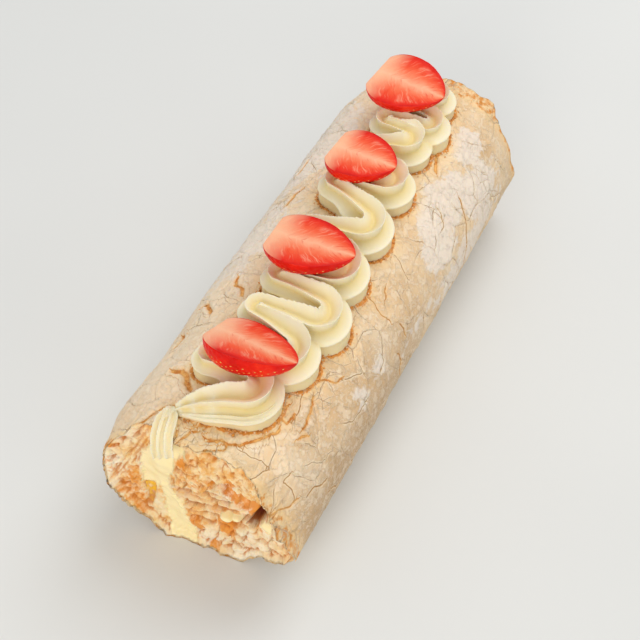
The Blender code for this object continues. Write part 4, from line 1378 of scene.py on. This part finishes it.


# %% [markdown]
# The torn surface shows pale crumb, tan skin, toasted edges and cream. The crevices are deep orange, partly
# toast and partly painted shade, and the hollow under the flap is painted orange and near black as shade.
# The kept fields say how much of each there is, and fine noise breaks up their edges.

# %% Material: torn meringue and cream
def torn_material():
    """Crumb, skin, toast and cream on the torn end, with painted shade in its crevices, hollow and gap."""
    material, tree, place = new_material("torn_meringue_and_cream")
    read = {name: add(tree, "Attribute", attribute_name=name).outputs["Fac"]
            for name in ("skin", "cream", "gold", "toast", "dark", "crevice")}
    honey = add(tree, "TexNoise", {"Vector": place, "Scale": 110.0, "Detail": 5.0, "Roughness": 0.65})
    crumb = add(tree, "ValToRGB", {0: honey},
                stops=[(0.32, "FFF0D0"), (0.48, "FEDFAC"), (0.60, "F6BC6E"), (0.74, "E0862A")])
    clouds = add(tree, "TexNoise", {"Vector": place, "Scale": 70.0, "Detail": 3.0})
    skin = add(tree, "ValToRGB", {0: clouds}, stops=[(0.35, "F9D298"), (0.5, "FEE4BA"), (0.65, "FFF1D6")])
    ragged = add(tree, "TexNoise", {"Vector": place, "Scale": 330.0, "Detail": 4.0, "Roughness": 0.6})
    uneven = add(tree, "MapRange", {0: ragged, 1: 0.3, 2: 0.7, 3: -0.32, 4: 0.32})
    skinned = add(tree, "Math", {0: read["skin"], 1: uneven}, operation="ADD")
    skinned = add(tree, "MapRange", {0: skinned, 1: 0.3, 2: 0.7})
    # Toast, and painted shade in the hollow under the flap
    toast_and_painted_shade = add(tree, "Math", {0: read["toast"], 1: uneven}, operation="ADD")
    toast_and_painted_shade = add(tree, "MapRange", {0: toast_and_painted_shade, 1: 0.38, 2: 0.8, 4: 0.88})
    # Painted shade, partly toast: places behind their surroundings turn deep orange
    deep = add(tree, "Math", {0: read["crevice"], 1: uneven}, operation="ADD", use_clamp=True)
    deep = add(tree, "Math", {0: deep, 1: 0.85}, operation="MULTIPLY")
    glaze = add(tree, "Mix", {0: read["gold"], 6: colour("FDE9B4"), 7: colour("F2BC38")}, data_type="RGBA")
    creamy = add(tree, "Math", {0: read["cream"], 1: uneven}, operation="ADD")
    creamy = add(tree, "MapRange", {0: creamy, 1: 0.35, 2: 0.6})
    surface = crumb
    # The dark number paints the gap under the flap near black, as shadow
    for amount, tone in ((skinned, skin), (toast_and_painted_shade, colour("EE9426")), (deep, colour("CC7A26")),
                         (creamy, glaze), (read["dark"], colour("6E2406"))):
        surface = add(tree, "Mix", {0: amount, 6: surface, 7: tone}, data_type="RGBA")
    foam = add(tree, "TexNoise", {"Vector": place, "Scale": 700.0, "Detail": 5.0, "Roughness": 0.7})
    dry = add(tree, "MapRange", {0: creamy, 3: 1.0, 4: 0.08})
    relief = add(tree, "Math", {0: foam, 1: dry}, operation="MULTIPLY")
    bump = add(tree, "Bump", {"Height": relief, "Distance": 0.9 * MM, "Strength": 0.8})
    gloss = add(tree, "MapRange", {0: creamy, 3: 0.7, 4: 0.22})
    shader = add(tree, "BsdfPrincipled", {
        "Base Color": surface, "Roughness": gloss, "Normal": bump, "IOR": 1.45, "Specular IOR Level": 0.4,
        "Subsurface Weight": 0.15, "Subsurface Scale": 2.5 * MM, "Subsurface Radius": (1.0, 0.6, 0.25)})
    add(tree, "OutputMaterial", {0: shader})
    return material


torn_end = show_mesh(build_torn_end(), "torn_end", torn_material())

# %% [markdown]
# Small toasted crumbs also lie along the foot of the piping, where the wet cream met the hot dry skin. They
# are found beside each rope's path, on the crust, and kept only where no other rope covers them.

# %% Crumbs along the foot of the piping
# Crumbs are made in small bmeshes, for so many rope points at a time, because a large bmesh is slow to add to
CRUMB_STRETCH = 40
CRUMB_LIMIT = 40 * MM


def foot_crumbs():
    """Toasted crumbs along both sides of the ropes in one bmesh."""
    chance = random.Random(37)
    all_crumbs = bmesh.new()
    chip_layers(all_crumbs)
    for start in range(0, len(rope_points), CRUMB_STRETCH):
        small = bmesh.new()
        layers = chip_layers(small)
        stretch = rope_points[start:start + CRUMB_STRETCH + 1]
        for (place, radius), (following, _) in zip(stretch, stretch[1:]):
            ahead = (following - place).normalized()
            for side in (-1.0, 1.0, -1.0, 1.0):
                away = ledge_reach(radius) * chance.uniform(0.9, 1.0) + abs(chance.gauss(0.0, 1.0)) * MM
                spot = place + Vector((-ahead.y, ahead.x, 0.0)) * side * away
                spot += Vector((chance.uniform(-0.8, 0.8), chance.uniform(-0.8, 0.8), 0.0)) * MM
                spot.z = surface_z(spot.y - CENTRING.y)
                _, index, _ = rope_tree.find(spot)
                level = (spot.xy - rope_points[index][0].xy).length
                if level < ledge_reach(rope_points[index][1]) * 0.88 or abs(spot.y) > CRUMB_LIMIT:
                    continue
                centre = (spot - CENTRING) / MM
                add_lump(small, layers, chance, centre, chance.uniform(0.25, 0.7), chance.uniform(0.6, 1.1))
        mesh = bpy.data.meshes.new("crumbs")
        small.to_mesh(mesh)
        small.free()
        all_crumbs.from_mesh(mesh)
        bpy.data.meshes.remove(mesh)
    return all_crumbs


scattered = finish_piece(foot_crumbs(), "crumbs_by_the_piping", baked_meringue)

# %% [markdown]
# ## Whipped cream
# Whipped cream is an opaque, fatty foam: pale yellow, smooth and satin, and light goes some way into it,
# so its grooves glow a deeper yellow; that deeper yellow is painted shade in its colour. Piped cream has
# slightly torn crests where it thins out.

# %% Material: whipped cream
def cream_material(name, body, grooves, gloss):
    """Opaque satin foam. A kept number paints groove shade a deeper yellow, another where juice ran."""
    material, tree, place = new_material(name)
    groove, juice = [add(tree, "Attribute", attribute_name=field).outputs["Fac"]
                     for field in ("groove", "juice")]
    clouds = add(tree, "TexNoise", {"Vector": place, "Scale": 60.0, "Detail": 3.0})
    deep = add(tree, "MapRange", {0: clouds, 3: -0.10, 4: 0.10})
    deep = add(tree, "Math", {0: groove, 1: deep}, operation="ADD", use_clamp=True)
    surface = colour(body)
    # Painted shade: a deeper yellow where the groove number is high
    for amount, code in ((deep, grooves), (juice, "F0B69A")):
        surface = add(tree, "Mix", {0: amount, 6: surface, 7: colour(code)}, data_type="RGBA")
    foam = add(tree, "TexNoise", {"Vector": place, "Scale": 1500.0, "Detail": 3.0})
    drag = add(tree, "TexNoise", {"Vector": place, "Scale": 260.0, "Detail": 4.0})
    relief = add(tree, "Math", {0: foam, 1: 0.25, 2: drag}, operation="MULTIPLY_ADD")
    bump = add(tree, "Bump", {"Height": relief, "Distance": 0.25 * MM, "Strength": 0.5})
    shader = add(tree, "BsdfPrincipled", {
        "Base Color": surface, "Roughness": gloss, "Normal": bump, "IOR": 1.45, "Specular IOR Level": 0.35,
        "Subsurface Weight": 0.3, "Subsurface Scale": 2.0 * MM, "Subsurface Radius": (1.0, 0.8, 0.35)})
    add(tree, "OutputMaterial", {0: shader})
    return material


whipped_cream = cream_material("whipped_cream", "EFE6CA", "EAD183", 0.4)
print(whipped_cream.name)

# %% [markdown]
# ## Strawberries
# Each strawberry is cut in half from its leafy end to its tip. Its centre, size and lean follow the solids:
# the cut face looks up, and the first half leans so far that a band of skin with seeds shows.

# %% Sizes and places of the berries
# Centre of the cut face, length, width and depth in millimetres, lean about the length, turn about Z
BERRIES = {
    "strawberry_1": ((-90, -7, 105), 44, 38, 16, 25, -4),
    "strawberry_2": ((-21, -2.5, 105), 44, 39, 15, 8, 3),
    "strawberry_3": ((48, 1.5, 104), 36, 37, 14, 2, -3),
    "strawberry_4": ((109.5, 2.5, 106), 42, 41, 14, -4, -8),
}


def berry_frame(spec):
    """The matrix from a berry's own axes to the roll: length along Y, cut face up."""
    centre, _, _, _, lean, turn = spec
    place = Matrix.Translation(Vector(centre) * MM + CENTRING)
    return place @ Matrix.Rotation(math.radians(turn), 4, "Z") @ Matrix.Rotation(math.radians(lean), 4, "Y")


berry_frames = {name: berry_frame(spec) for name, spec in BERRIES.items()}
print(len(berry_frames), "berries")


# %% [markdown]
# The piped skin gets its fields: painted shade by how deep each vertex lies in a groove or how shut in it
# is, and a little juice by the berries. The crests are made slightly ragged with fine noise.
# The crests are made slightly ragged with fine noise.

# %% The piped border as a piece
# Two places of the rope so many points apart lie on different stretches of it
NEIGHBOURS = 26
OTHER_STRETCH = 12


def shut_in_shade(mesh):
    """How shut in each vertex is, for painted shade: low between stretches of the rope, or under a ledge."""
    shut_in = []
    for place in mesh_places(mesh):
        found = rope_tree.find_n(place, NEIGHBOURS)
        middle, nearest, _ = found[0]
        others = [math.hypot(place[0] - spot.x, place[1] - spot.y) / MM
                  for spot, index, _ in found if abs(index - nearest) > OTHER_STRETCH]
        below = (middle.z - place[2]) / MM
        between = min(max((14.0 - min(others, default=20.0)) / 5.0, 0.0), 1.0)
        low = min(max((below + 3.5) / 5.0, 0.0), 1.0)
        wall = 0.45 * min(max((below - 0.6) / 1.5, 0.0), 1.0)
        shut_in.append(max(between * low, wall))
    return np.array(shut_in)


def dress_cream(mesh, ragged):
    """Painted groove shade and juice fields, and ragged crests, on a mesh of piped cream."""
    distances, radii, _ = rope_distances(mesh)
    height = distances / radii
    # Painted shade: deeper yellow deep in the grooves, between stretches of the rope and under the ledges
    groove = 0.75 * ramp(height, 0.86, 0.46) ** 1.4
    groove = np.maximum(groove, shut_in_shade(mesh))
    places = mesh_places(mesh)
    juice = np.zeros(len(places))
    for name, spec in BERRIES.items():
        to_berry = np.array(berry_frames[name].inverted())
        local = (places @ to_berry[:3, :3].T + to_berry[:3, 3]) / MM
        away = np.sqrt((local[:, 0] / (spec[2] / 2)) ** 2 + (local[:, 1] / (spec[1] / 2)) ** 2)
        low = ramp(local[:, 2], 0.0, -10.0)
        juice = np.maximum(juice, 0.14 * np.clip(0.95 - away, 0.0, 0.15) * 6.0 * low)
    write_numbers(mesh, "groove", groove)
    write_numbers(mesh, "juice", juice)
    bumps = [noise.noise(Vector(place) / (2.6 * MM)) + 0.6 * noise.noise(Vector(place) / (1.1 * MM))
             for place in places]
    push_along_normals(mesh, np.array(bumps) * ramp(height, 0.86, 0.98) * ragged)


dress_cream(border_mesh, 0.22 * MM)
border = show_mesh(border_mesh, "piped_border", whipped_cream)
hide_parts("piped_cream")

# %% [markdown]
# ## The dab by the torn end
# A short dab of cream was dragged over the crust where the nozzle was lifted. It is swept like the border.

# %% The dab
# Places (x, y), height over the crust and radius, in millimetres
DAB_POINTS = [(-123.5, 20.5, -1.5, 1.6), (-126.5, 19.5, -0.8, 3.4), (-131, 18, -0.6, 4.6),
              (-136, 16.5, -0.6, 5.0), (-141, 15, -1.4, 4.8), (-144.5, 13.5, -4.5, 4.4),
              (-146, 12.5, -9.5, 3.4)]
# How far each of the three small ropes lies from the middle one's path
DAB_OFFSETS = [(1.0, -2.9), (-0.2, 0.4), (-1.0, 3.2)]
DAB_CELL = 0.4 * MM
DAB_TRIANGLES = 14000


def dab_path(shift_x, shift_y):
    """Places and radii of one of the small ropes in the dab, from its thin start over the rim and down."""
    path = []
    for (x0, y0, h0, r0), (x1, y1, h1, r1) in zip(DAB_POINTS, DAB_POINTS[1:]):
        for t in even(0.0, 1.0, 5)[:-1]:
            spread = smoothstep(-122.0, -134.0, x0 + (x1 - x0) * t)
            x, y = x0 + (x1 - x0) * t + shift_x * spread, y0 + (y1 - y0) * t + shift_y * spread
            height, radius = h0 + (h1 - h0) * t, r0 + (r1 - r0) * t
            path.append((Vector((x * MM, y * MM, surface_z(y * MM) + height * MM)) + CENTRING, radius * MM))
    return path


dab_paths = [dab_path(*shift) for shift in DAB_OFFSETS]
dab_mesh = melt([rope_mesh(path, ridges) for path in dab_paths], DAB_CELL, DAB_TRIANGLES)
bpy.data.objects.remove(ridges)
dab_points = [point for path in dab_paths for point in path]
dab_tree = tree_of([place for place, _ in dab_points])
dab_height = [dab_tree.find(place) for place in mesh_places(dab_mesh)]
dab_height = np.array([distance / dab_points[index][1] for _, index, distance in dab_height])
# Painted shade: the dab's grooves turn a deeper yellow
write_numbers(dab_mesh, "groove", 0.5 * ramp(dab_height, 0.8, 0.4))
write_numbers(dab_mesh, "juice", np.zeros(len(dab_height)))
dab = show_mesh(dab_mesh, "dragged_dab", whipped_cream)
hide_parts("cream_dab")

# %% [markdown]
# ## Cream inside the roll
# The filling lies between the turns of the sheet. At the torn end it shows as a glossy band that bulges and
# drips. It stops short under the top wrap, where the roll is hollow.

# %% The filling
FILLING_START, FILLING_END = 0.083, 1.9
FILLING_STEP = 1.1 * MM


def cream_near(turn):
    """X of the filling's near end. It lies deep in the hollow under the top wrap."""
    return TORN_BACK + (1.5 + noise.noise(Vector((turn * 11.0, 6.6, 4.0)))) * MM


def cream_far(turn):
    """X of the filling's far end."""
    return (139.0 + noise.noise(Vector((turn * 9.0, 1.6, 7.0))) * 3.0) * MM


def filling_place(turn, station):
    """Where the filling's station lies. Its end wall bulges and is smooth, with soft drips."""
    part, way = station
    angle = turn_angle(turn)
    near, far = cream_near(turn), cream_far(turn)
    outer = crust_depth(turn) + sheet_thickness(turn) + GAP
    inner = max(crust_depth(turn + 1.0) - GAP, outer + 0.4 * MM)
    core = CORE_RADIUS + SHEET_TIP + GAP
    if part == "crust":
        return roll_point(near + (far - near) * way, angle, outer, core), 0.0
    if part == "back":
        return roll_point(near + (far - near) * way, angle, inner, core), 0.0
    end, outward = (near, -1.0) if part == "near" else (far, 1.0)
    place = roll_point(end, angle, outer + (inner - outer) * way, core)
    bulge = math.sqrt(max(1.0 - (2.0 * way - 1.0) ** 2, 0.0))
    soft = noise.noise(place / (9.0 * MM) + Vector((3.0, 0.0, 5.0)))
    place.x += outward * bulge * (1.8 + 2.4 * soft) * MM
    return place, 0.0


filling_turns = turn_steps(FILLING_START, FILLING_END, FILLING_STEP, FILLING_STEP)
filling_wall = [("far", share) for share in even(0.0, 1.0, 8)[1:]]
filling_stations = [("crust", way) for way in (0.0, 0.004, 0.012, 0.03, 0.3, 0.7, 0.97, 0.99, 1.0)]
filling_stations += filling_wall + [("back", way) for way in (0.99, 0.97, 0.7, 0.3, 0.03, 0.012, 0.004)]
filling_stations += [("near", share) for share in reversed(even(0.0, 1.0, 22)[1:])]
filling_stations += [filling_stations[0]]
glossy_cream = cream_material("filling_cream", "F6EDC4", "EEDC93", 0.3)
filling_bm = build_sheet(filling_turns, filling_stations, filling_place)
filling = finish_piece(filling_bm, "cream_between_turns", glossy_cream)
# On the filling the groove number is random mottling, not shade
write_numbers(filling.data, "groove", [
    0.5 + 0.9 * noise.noise(Vector(place) / (11.0 * MM)) for place in mesh_places(filling.data)])
write_numbers(filling.data, "juice", np.zeros(len(filling.data.vertices)))
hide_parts("cream_filling")

# %% [markdown]
# ## Building a strawberry half
# A sphere with its poles at the leafy end and the tip takes the berry's profile. Its upper half is pressed
# flat as the cut face, with a soft rim, and the lower half is the skin. The seeds sit in small dents.

# %% Strawberry halves
BERRY_AROUND, BERRY_ALONG = 112, 88
SEED_ROWS = 15


def berry_radius(way):
    """Share of the half width at a way from the cut-off top (0) to the tip (1)."""
    t = 0.045 + 0.955 * way
    return t ** 0.36 * (1.0 - t) ** 0.64 / (0.36 ** 0.36 * 0.64 ** 0.64)


def seed_spots(index):
    """Ways and angles of the seeds under a berry's skin, in staggered rows."""
    spots = []
    for row in range(SEED_ROWS):
        way = 0.05 + 0.90 * (row + 0.5) / SEED_ROWS
        count = max(round(13 * berry_radius(way)), 4)
        for place in range(count):
            shift = noise.noise(Vector((row * 2.3, place * 1.7, index * 5.1)))
            angle = math.pi * (place + 0.25 + 0.5 * (row % 2) + 0.25 * shift) / count
            spots.append((way + 0.012 * shift, angle))
    return spots


def skin_point(spec, index, way, angle):
    """A point of the berry's skin in its own axes. The angle runs from 0 at one rim to pi at the other."""
    _, length, width, depth, _, _ = spec
    uneven = 1.0 + 0.05 * noise.noise(Vector((way * 2.5, math.cos(angle), math.sin(angle) + index * 7.0)))
    reach = berry_radius(way) * uneven
    return Vector((reach * math.cos(angle) * width / 2, (0.5 - way) * length,
                   -reach * math.sin(angle) * depth)) * MM


def build_berry(name, spec, index):
    """The half strawberry as a closed bmesh with fields for its cut face and skin."""
    bm = bmesh.new()
    cut_layer = bm.verts.layers.float_vector.new("cut_place")
    face_layer = bm.verts.layers.float.new("cut_face")
    bmesh.ops.create_uvsphere(bm, u_segments=BERRY_AROUND, v_segments=BERRY_ALONG, radius=1.0)
    _, length, width, _, _, _ = spec
    spots = [(skin_point(spec, index, way, angle), way, angle) for way, angle in seed_spots(index)]
    dents = tree_of([place for place, _, _ in spots])
    for vert in bm.verts:
        way = (1.0 - vert.co.z) / 2.0
        around = math.atan2(vert.co.y, vert.co.x)
        radius = berry_radius(way) if 0.0 < way < 1.0 else 0.0
        if around > 1e-6 and way > 0.0:
            side = math.cos(around)
            edge = 1.0 - abs(side)
            lift = 0.22 * (1.0 - math.exp(-edge * 26.0)) + 0.35 * noise.noise(
                Vector((side * width / 9.0, way * length / 9.0, index * 3.0)))
            lift *= 0.8 * min(edge * 14.0, 1.0)
            vert.co = Vector((radius * side * width / 2, (0.5 - way) * length, lift)) * MM
            vert[face_layer] = min(edge * 60.0, 1.0)
        else:
            vert.co = Vector((0.0, length / 2 * MM, 0.0))
            if way > 0.0:
                vert.co = skin_point(spec, index, way, -around)
                _, _, near_seed = dents.find(vert.co)
                inward = Vector((-vert.co.x, 0.0, -vert.co.z + 1 * MM)).normalized()
                vert.co += inward * 0.55 * MM * math.exp(-(near_seed / (0.8 * MM)) ** 2)
            vert[face_layer] = 0.0
        vert[cut_layer] = (vert.co.x / (max(radius, 0.05) * width / 2 * MM), way, 0.0)
    bmesh.ops.recalc_face_normals(bm, faces=bm.faces)
    bmesh.ops.transform(bm, matrix=berry_frames[name], verts=bm.verts)
    return bm, spots


# %% [markdown]
# The cut flesh is wet and slightly see-through: red under the skin, paler towards the core, with pale veins
# that run from the core to the seeds. The skin is a deeper red, as glossy as the flesh.

# %% Material: strawberry
def berry_material():
    """Wet cut flesh with veins above, glossy red skin below."""
    material, tree, place = new_material("strawberry_flesh")
    cut = add(tree, "Attribute", attribute_name="cut_place").outputs["Vector"]
    face = add(tree, "Attribute", attribute_name="cut_face").outputs["Fac"]
    warp = add(tree, "TexNoise", {"Vector": place, "Scale": 150.0, "Detail": 2.0}).outputs["Color"]
    bent = add(tree, "VectorMath", {0: warp, 1: (0.26, 0.10, 0.0), 2: cut}, operation="MULTIPLY_ADD")
    parts = add(tree, "SeparateXYZ", {0: bent})
    across = add(tree, "Math", {0: parts.outputs["X"], 1: 0.13}, operation="SUBTRACT")
    away = add(tree, "Math", {0: across}, operation="ABSOLUTE")
    slant = add(tree, "Math", {0: away, 1: -0.30, 2: parts.outputs["Y"]}, operation="MULTIPLY_ADD")
    flesh = add(tree, "ValToRGB", {0: away},
                stops=[(0.0, "F8B08C"), (0.25, "F4855F"), (0.5, "F05C38"), (0.8, "E8331A"), (0.93, "DC1A0C"),
                       (1.0, "C80F06")])
    pattern = add(tree, "CombineXYZ", {"X": slant, "Y": away})
    scaled = add(tree, "VectorMath", {0: pattern, 1: (26.0, 2.2, 1.0)}, operation="MULTIPLY")
    veins = add(tree, "TexNoise", {"Vector": scaled, "Scale": 1.0, "Detail": 2.0})
    pale = add(tree, "MapRange", {0: veins, 1: 0.54, 2: 0.70, 4: 0.36})
    ends = add(tree, "MapRange", {0: away, 1: 0.9, 2: 0.75})
    pale = add(tree, "Math", {0: pale, 1: ends}, operation="MULTIPLY")
    dark = add(tree, "MapRange", {0: veins, 1: 0.40, 2: 0.30, 4: 0.5})
    top = add(tree, "MapRange", {0: parts.outputs["Y"], 1: 0.34, 2: 0.10, 4: 0.8})
    for amount, code in ((pale, "FBC0A0"), (dark, "DE2F1A"), (top, "F5C09A")):
        flesh = add(tree, "Mix", {0: amount, 6: flesh, 7: colour(code)}, data_type="RGBA")
    blotches = add(tree, "TexNoise", {"Vector": place, "Scale": 90.0, "Detail": 3.0})
    skin = add(tree, "ValToRGB", {0: blotches}, stops=[(0.35, "D20E06"), (0.5, "E61A0C"), (0.66, "F23418")])
    surface = add(tree, "Mix", {0: face, 6: skin, 7: flesh}, data_type="RGBA")
    fibres = add(tree, "TexNoise", {"Vector": place, "Scale": 700.0, "Detail": 3.0})
    relief = add(tree, "Math", {0: veins, 1: fibres}, operation="ADD")
    bump = add(tree, "Bump", {"Height": relief, "Distance": 0.25 * MM, "Strength": 0.5})
    shader = add(tree, "BsdfPrincipled", {
        "Base Color": surface, "Roughness": 0.36, "Normal": bump, "IOR": 1.35, "Specular IOR Level": 0.25,
        "Subsurface Weight": 0.08, "Subsurface Scale": 2.0 * MM, "Subsurface Radius": (1.0, 0.25, 0.12)})
    add(tree, "OutputMaterial", {0: shader})
    return material


strawberry_flesh = berry_material()
seed_places = []
for index, (name, spec) in enumerate(BERRIES.items()):
    berry_bm, spots = build_berry(name, spec, index)
    berry = finish_piece(berry_bm, "half_" + name, strawberry_flesh)
    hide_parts(name)
    seed_places += [(name, spec, index, way, angle) for _, way, angle in spots]

# %% [markdown]
# The seeds are small yellow drops of a few faces each, which sit in the dents of the skin.

# %% Seeds
# Half the width, length and thickness of a seed
SEED_SIZE = (0.32 * MM, 0.58 * MM, 0.25 * MM)


def seed_material():
    """Dry, slightly glossy husk."""
    material, tree, place = new_material("strawberry_seed")
    blush = add(tree, "TexNoise", {"Vector": place, "Scale": 200.0, "Detail": 1.0})
    surface = add(tree, "ValToRGB", {0: blush}, stops=[(0.4, "F3C46E"), (0.6, "EE9A4A")])
    shader = add(tree, "BsdfPrincipled", {"Base Color": surface, "Roughness": 0.35})
    add(tree, "OutputMaterial", {0: shader})
    return material


def build_seeds():
    """All seeds in one bmesh."""
    bm = bmesh.new()
    for name, spec, index, way, angle in seed_places:
        if not 0.12 < angle / math.pi < 0.88:
            continue
        place = skin_point(spec, index, way, angle)
        ahead = (skin_point(spec, index, way + 0.01, angle) - place).normalized()
        across = (skin_point(spec, index, way, angle + 0.02) - place).normalized()
        out = across.cross(ahead).normalized()
        out = out if out.z < 0 or abs(out.x) > 0.9 else -out
        turned = Matrix((across, ahead, out)).transposed().to_4x4()
        size = Matrix.Diagonal((*SEED_SIZE, 1.0))
        matrix = berry_frames[name] @ Matrix.Translation(place - out * 0.28 * MM) @ turned @ size
        bmesh.ops.create_icosphere(bm, subdivisions=1, radius=1.0, matrix=matrix)
    bmesh.ops.recalc_face_normals(bm, faces=bm.faces)
    return bm


seeds = finish_piece(build_seeds(), "strawberry_seeds", seed_material())

# %% [markdown]
# ## Floor and light
# The roulade lies on a plain pale floor.

# %% Floor
def floor_material():
    """A matt pale grey board with the faintest mottling."""
    material, tree, place = new_material("matt_backdrop")
    clouds = add(tree, "TexNoise", {"Vector": place, "Scale": 3.0, "Detail": 2.0})
    pale = add(tree, "ValToRGB", {0: clouds}, stops=[(0.3, "D9DAD9"), (0.7, "DEDFDE")])
    shader = add(tree, "BsdfPrincipled", {"Base Color": pale, "Roughness": 0.8, "Specular IOR Level": 0.2})
    add(tree, "OutputMaterial", {0: shader})
    return material


floor_bm = bmesh.new()
bmesh.ops.create_grid(floor_bm, x_segments=2, y_segments=2, size=3.0)
floor_mesh = bpy.data.meshes.new("floor")
floor_bm.to_mesh(floor_mesh)
floor_bm.free()
floor_mesh.materials.append(floor_material())
floor = bpy.data.objects.new("floor", floor_mesh)
bpy.context.scene.collection.objects.link(floor)
print("floor laid")

# %% [markdown]
# A big soft light stands high on the right behind the roulade and a smaller, weaker and warmer one in front
# of the torn end. A pale world fills the shadows.

# %% Lights
def area_light(name, place, target, size, watts, code):
    """A square soft light that looks at a target."""
    light = bpy.data.lights.new(name, "AREA")
    light.size = size
    light.energy = watts
    light.color = colour(code)[:3]
    lamp = bpy.data.objects.new(name, light)
    bpy.context.scene.collection.objects.link(lamp)
    ahead = (Vector(target) - Vector(place)).normalized()
    lamp.matrix_world = Matrix.Translation(place) @ ahead.to_track_quat("-Z", "Y").to_matrix().to_4x4()
    return lamp


area_light("key", (0.75, -0.24, 1.27), (0.0, 0.0, 0.03), 1.1, 10.5, "FFFDFA")
area_light("front", (-1.15, -0.18, 0.57), (-0.1, 0.0, 0.03), 0.7, 6.0, "FFF8EC")
world = bpy.data.worlds.new("studio")
world.use_nodes = True
world.node_tree.nodes["Background"].inputs["Color"].default_value = colour("F7F8F8")
world.node_tree.nodes["Background"].inputs["Strength"].default_value = 0.65
bpy.context.scene.world = world
bpy.context.scene.view_settings.view_transform = "Standard"
bpy.context.scene.view_settings.look = "None"
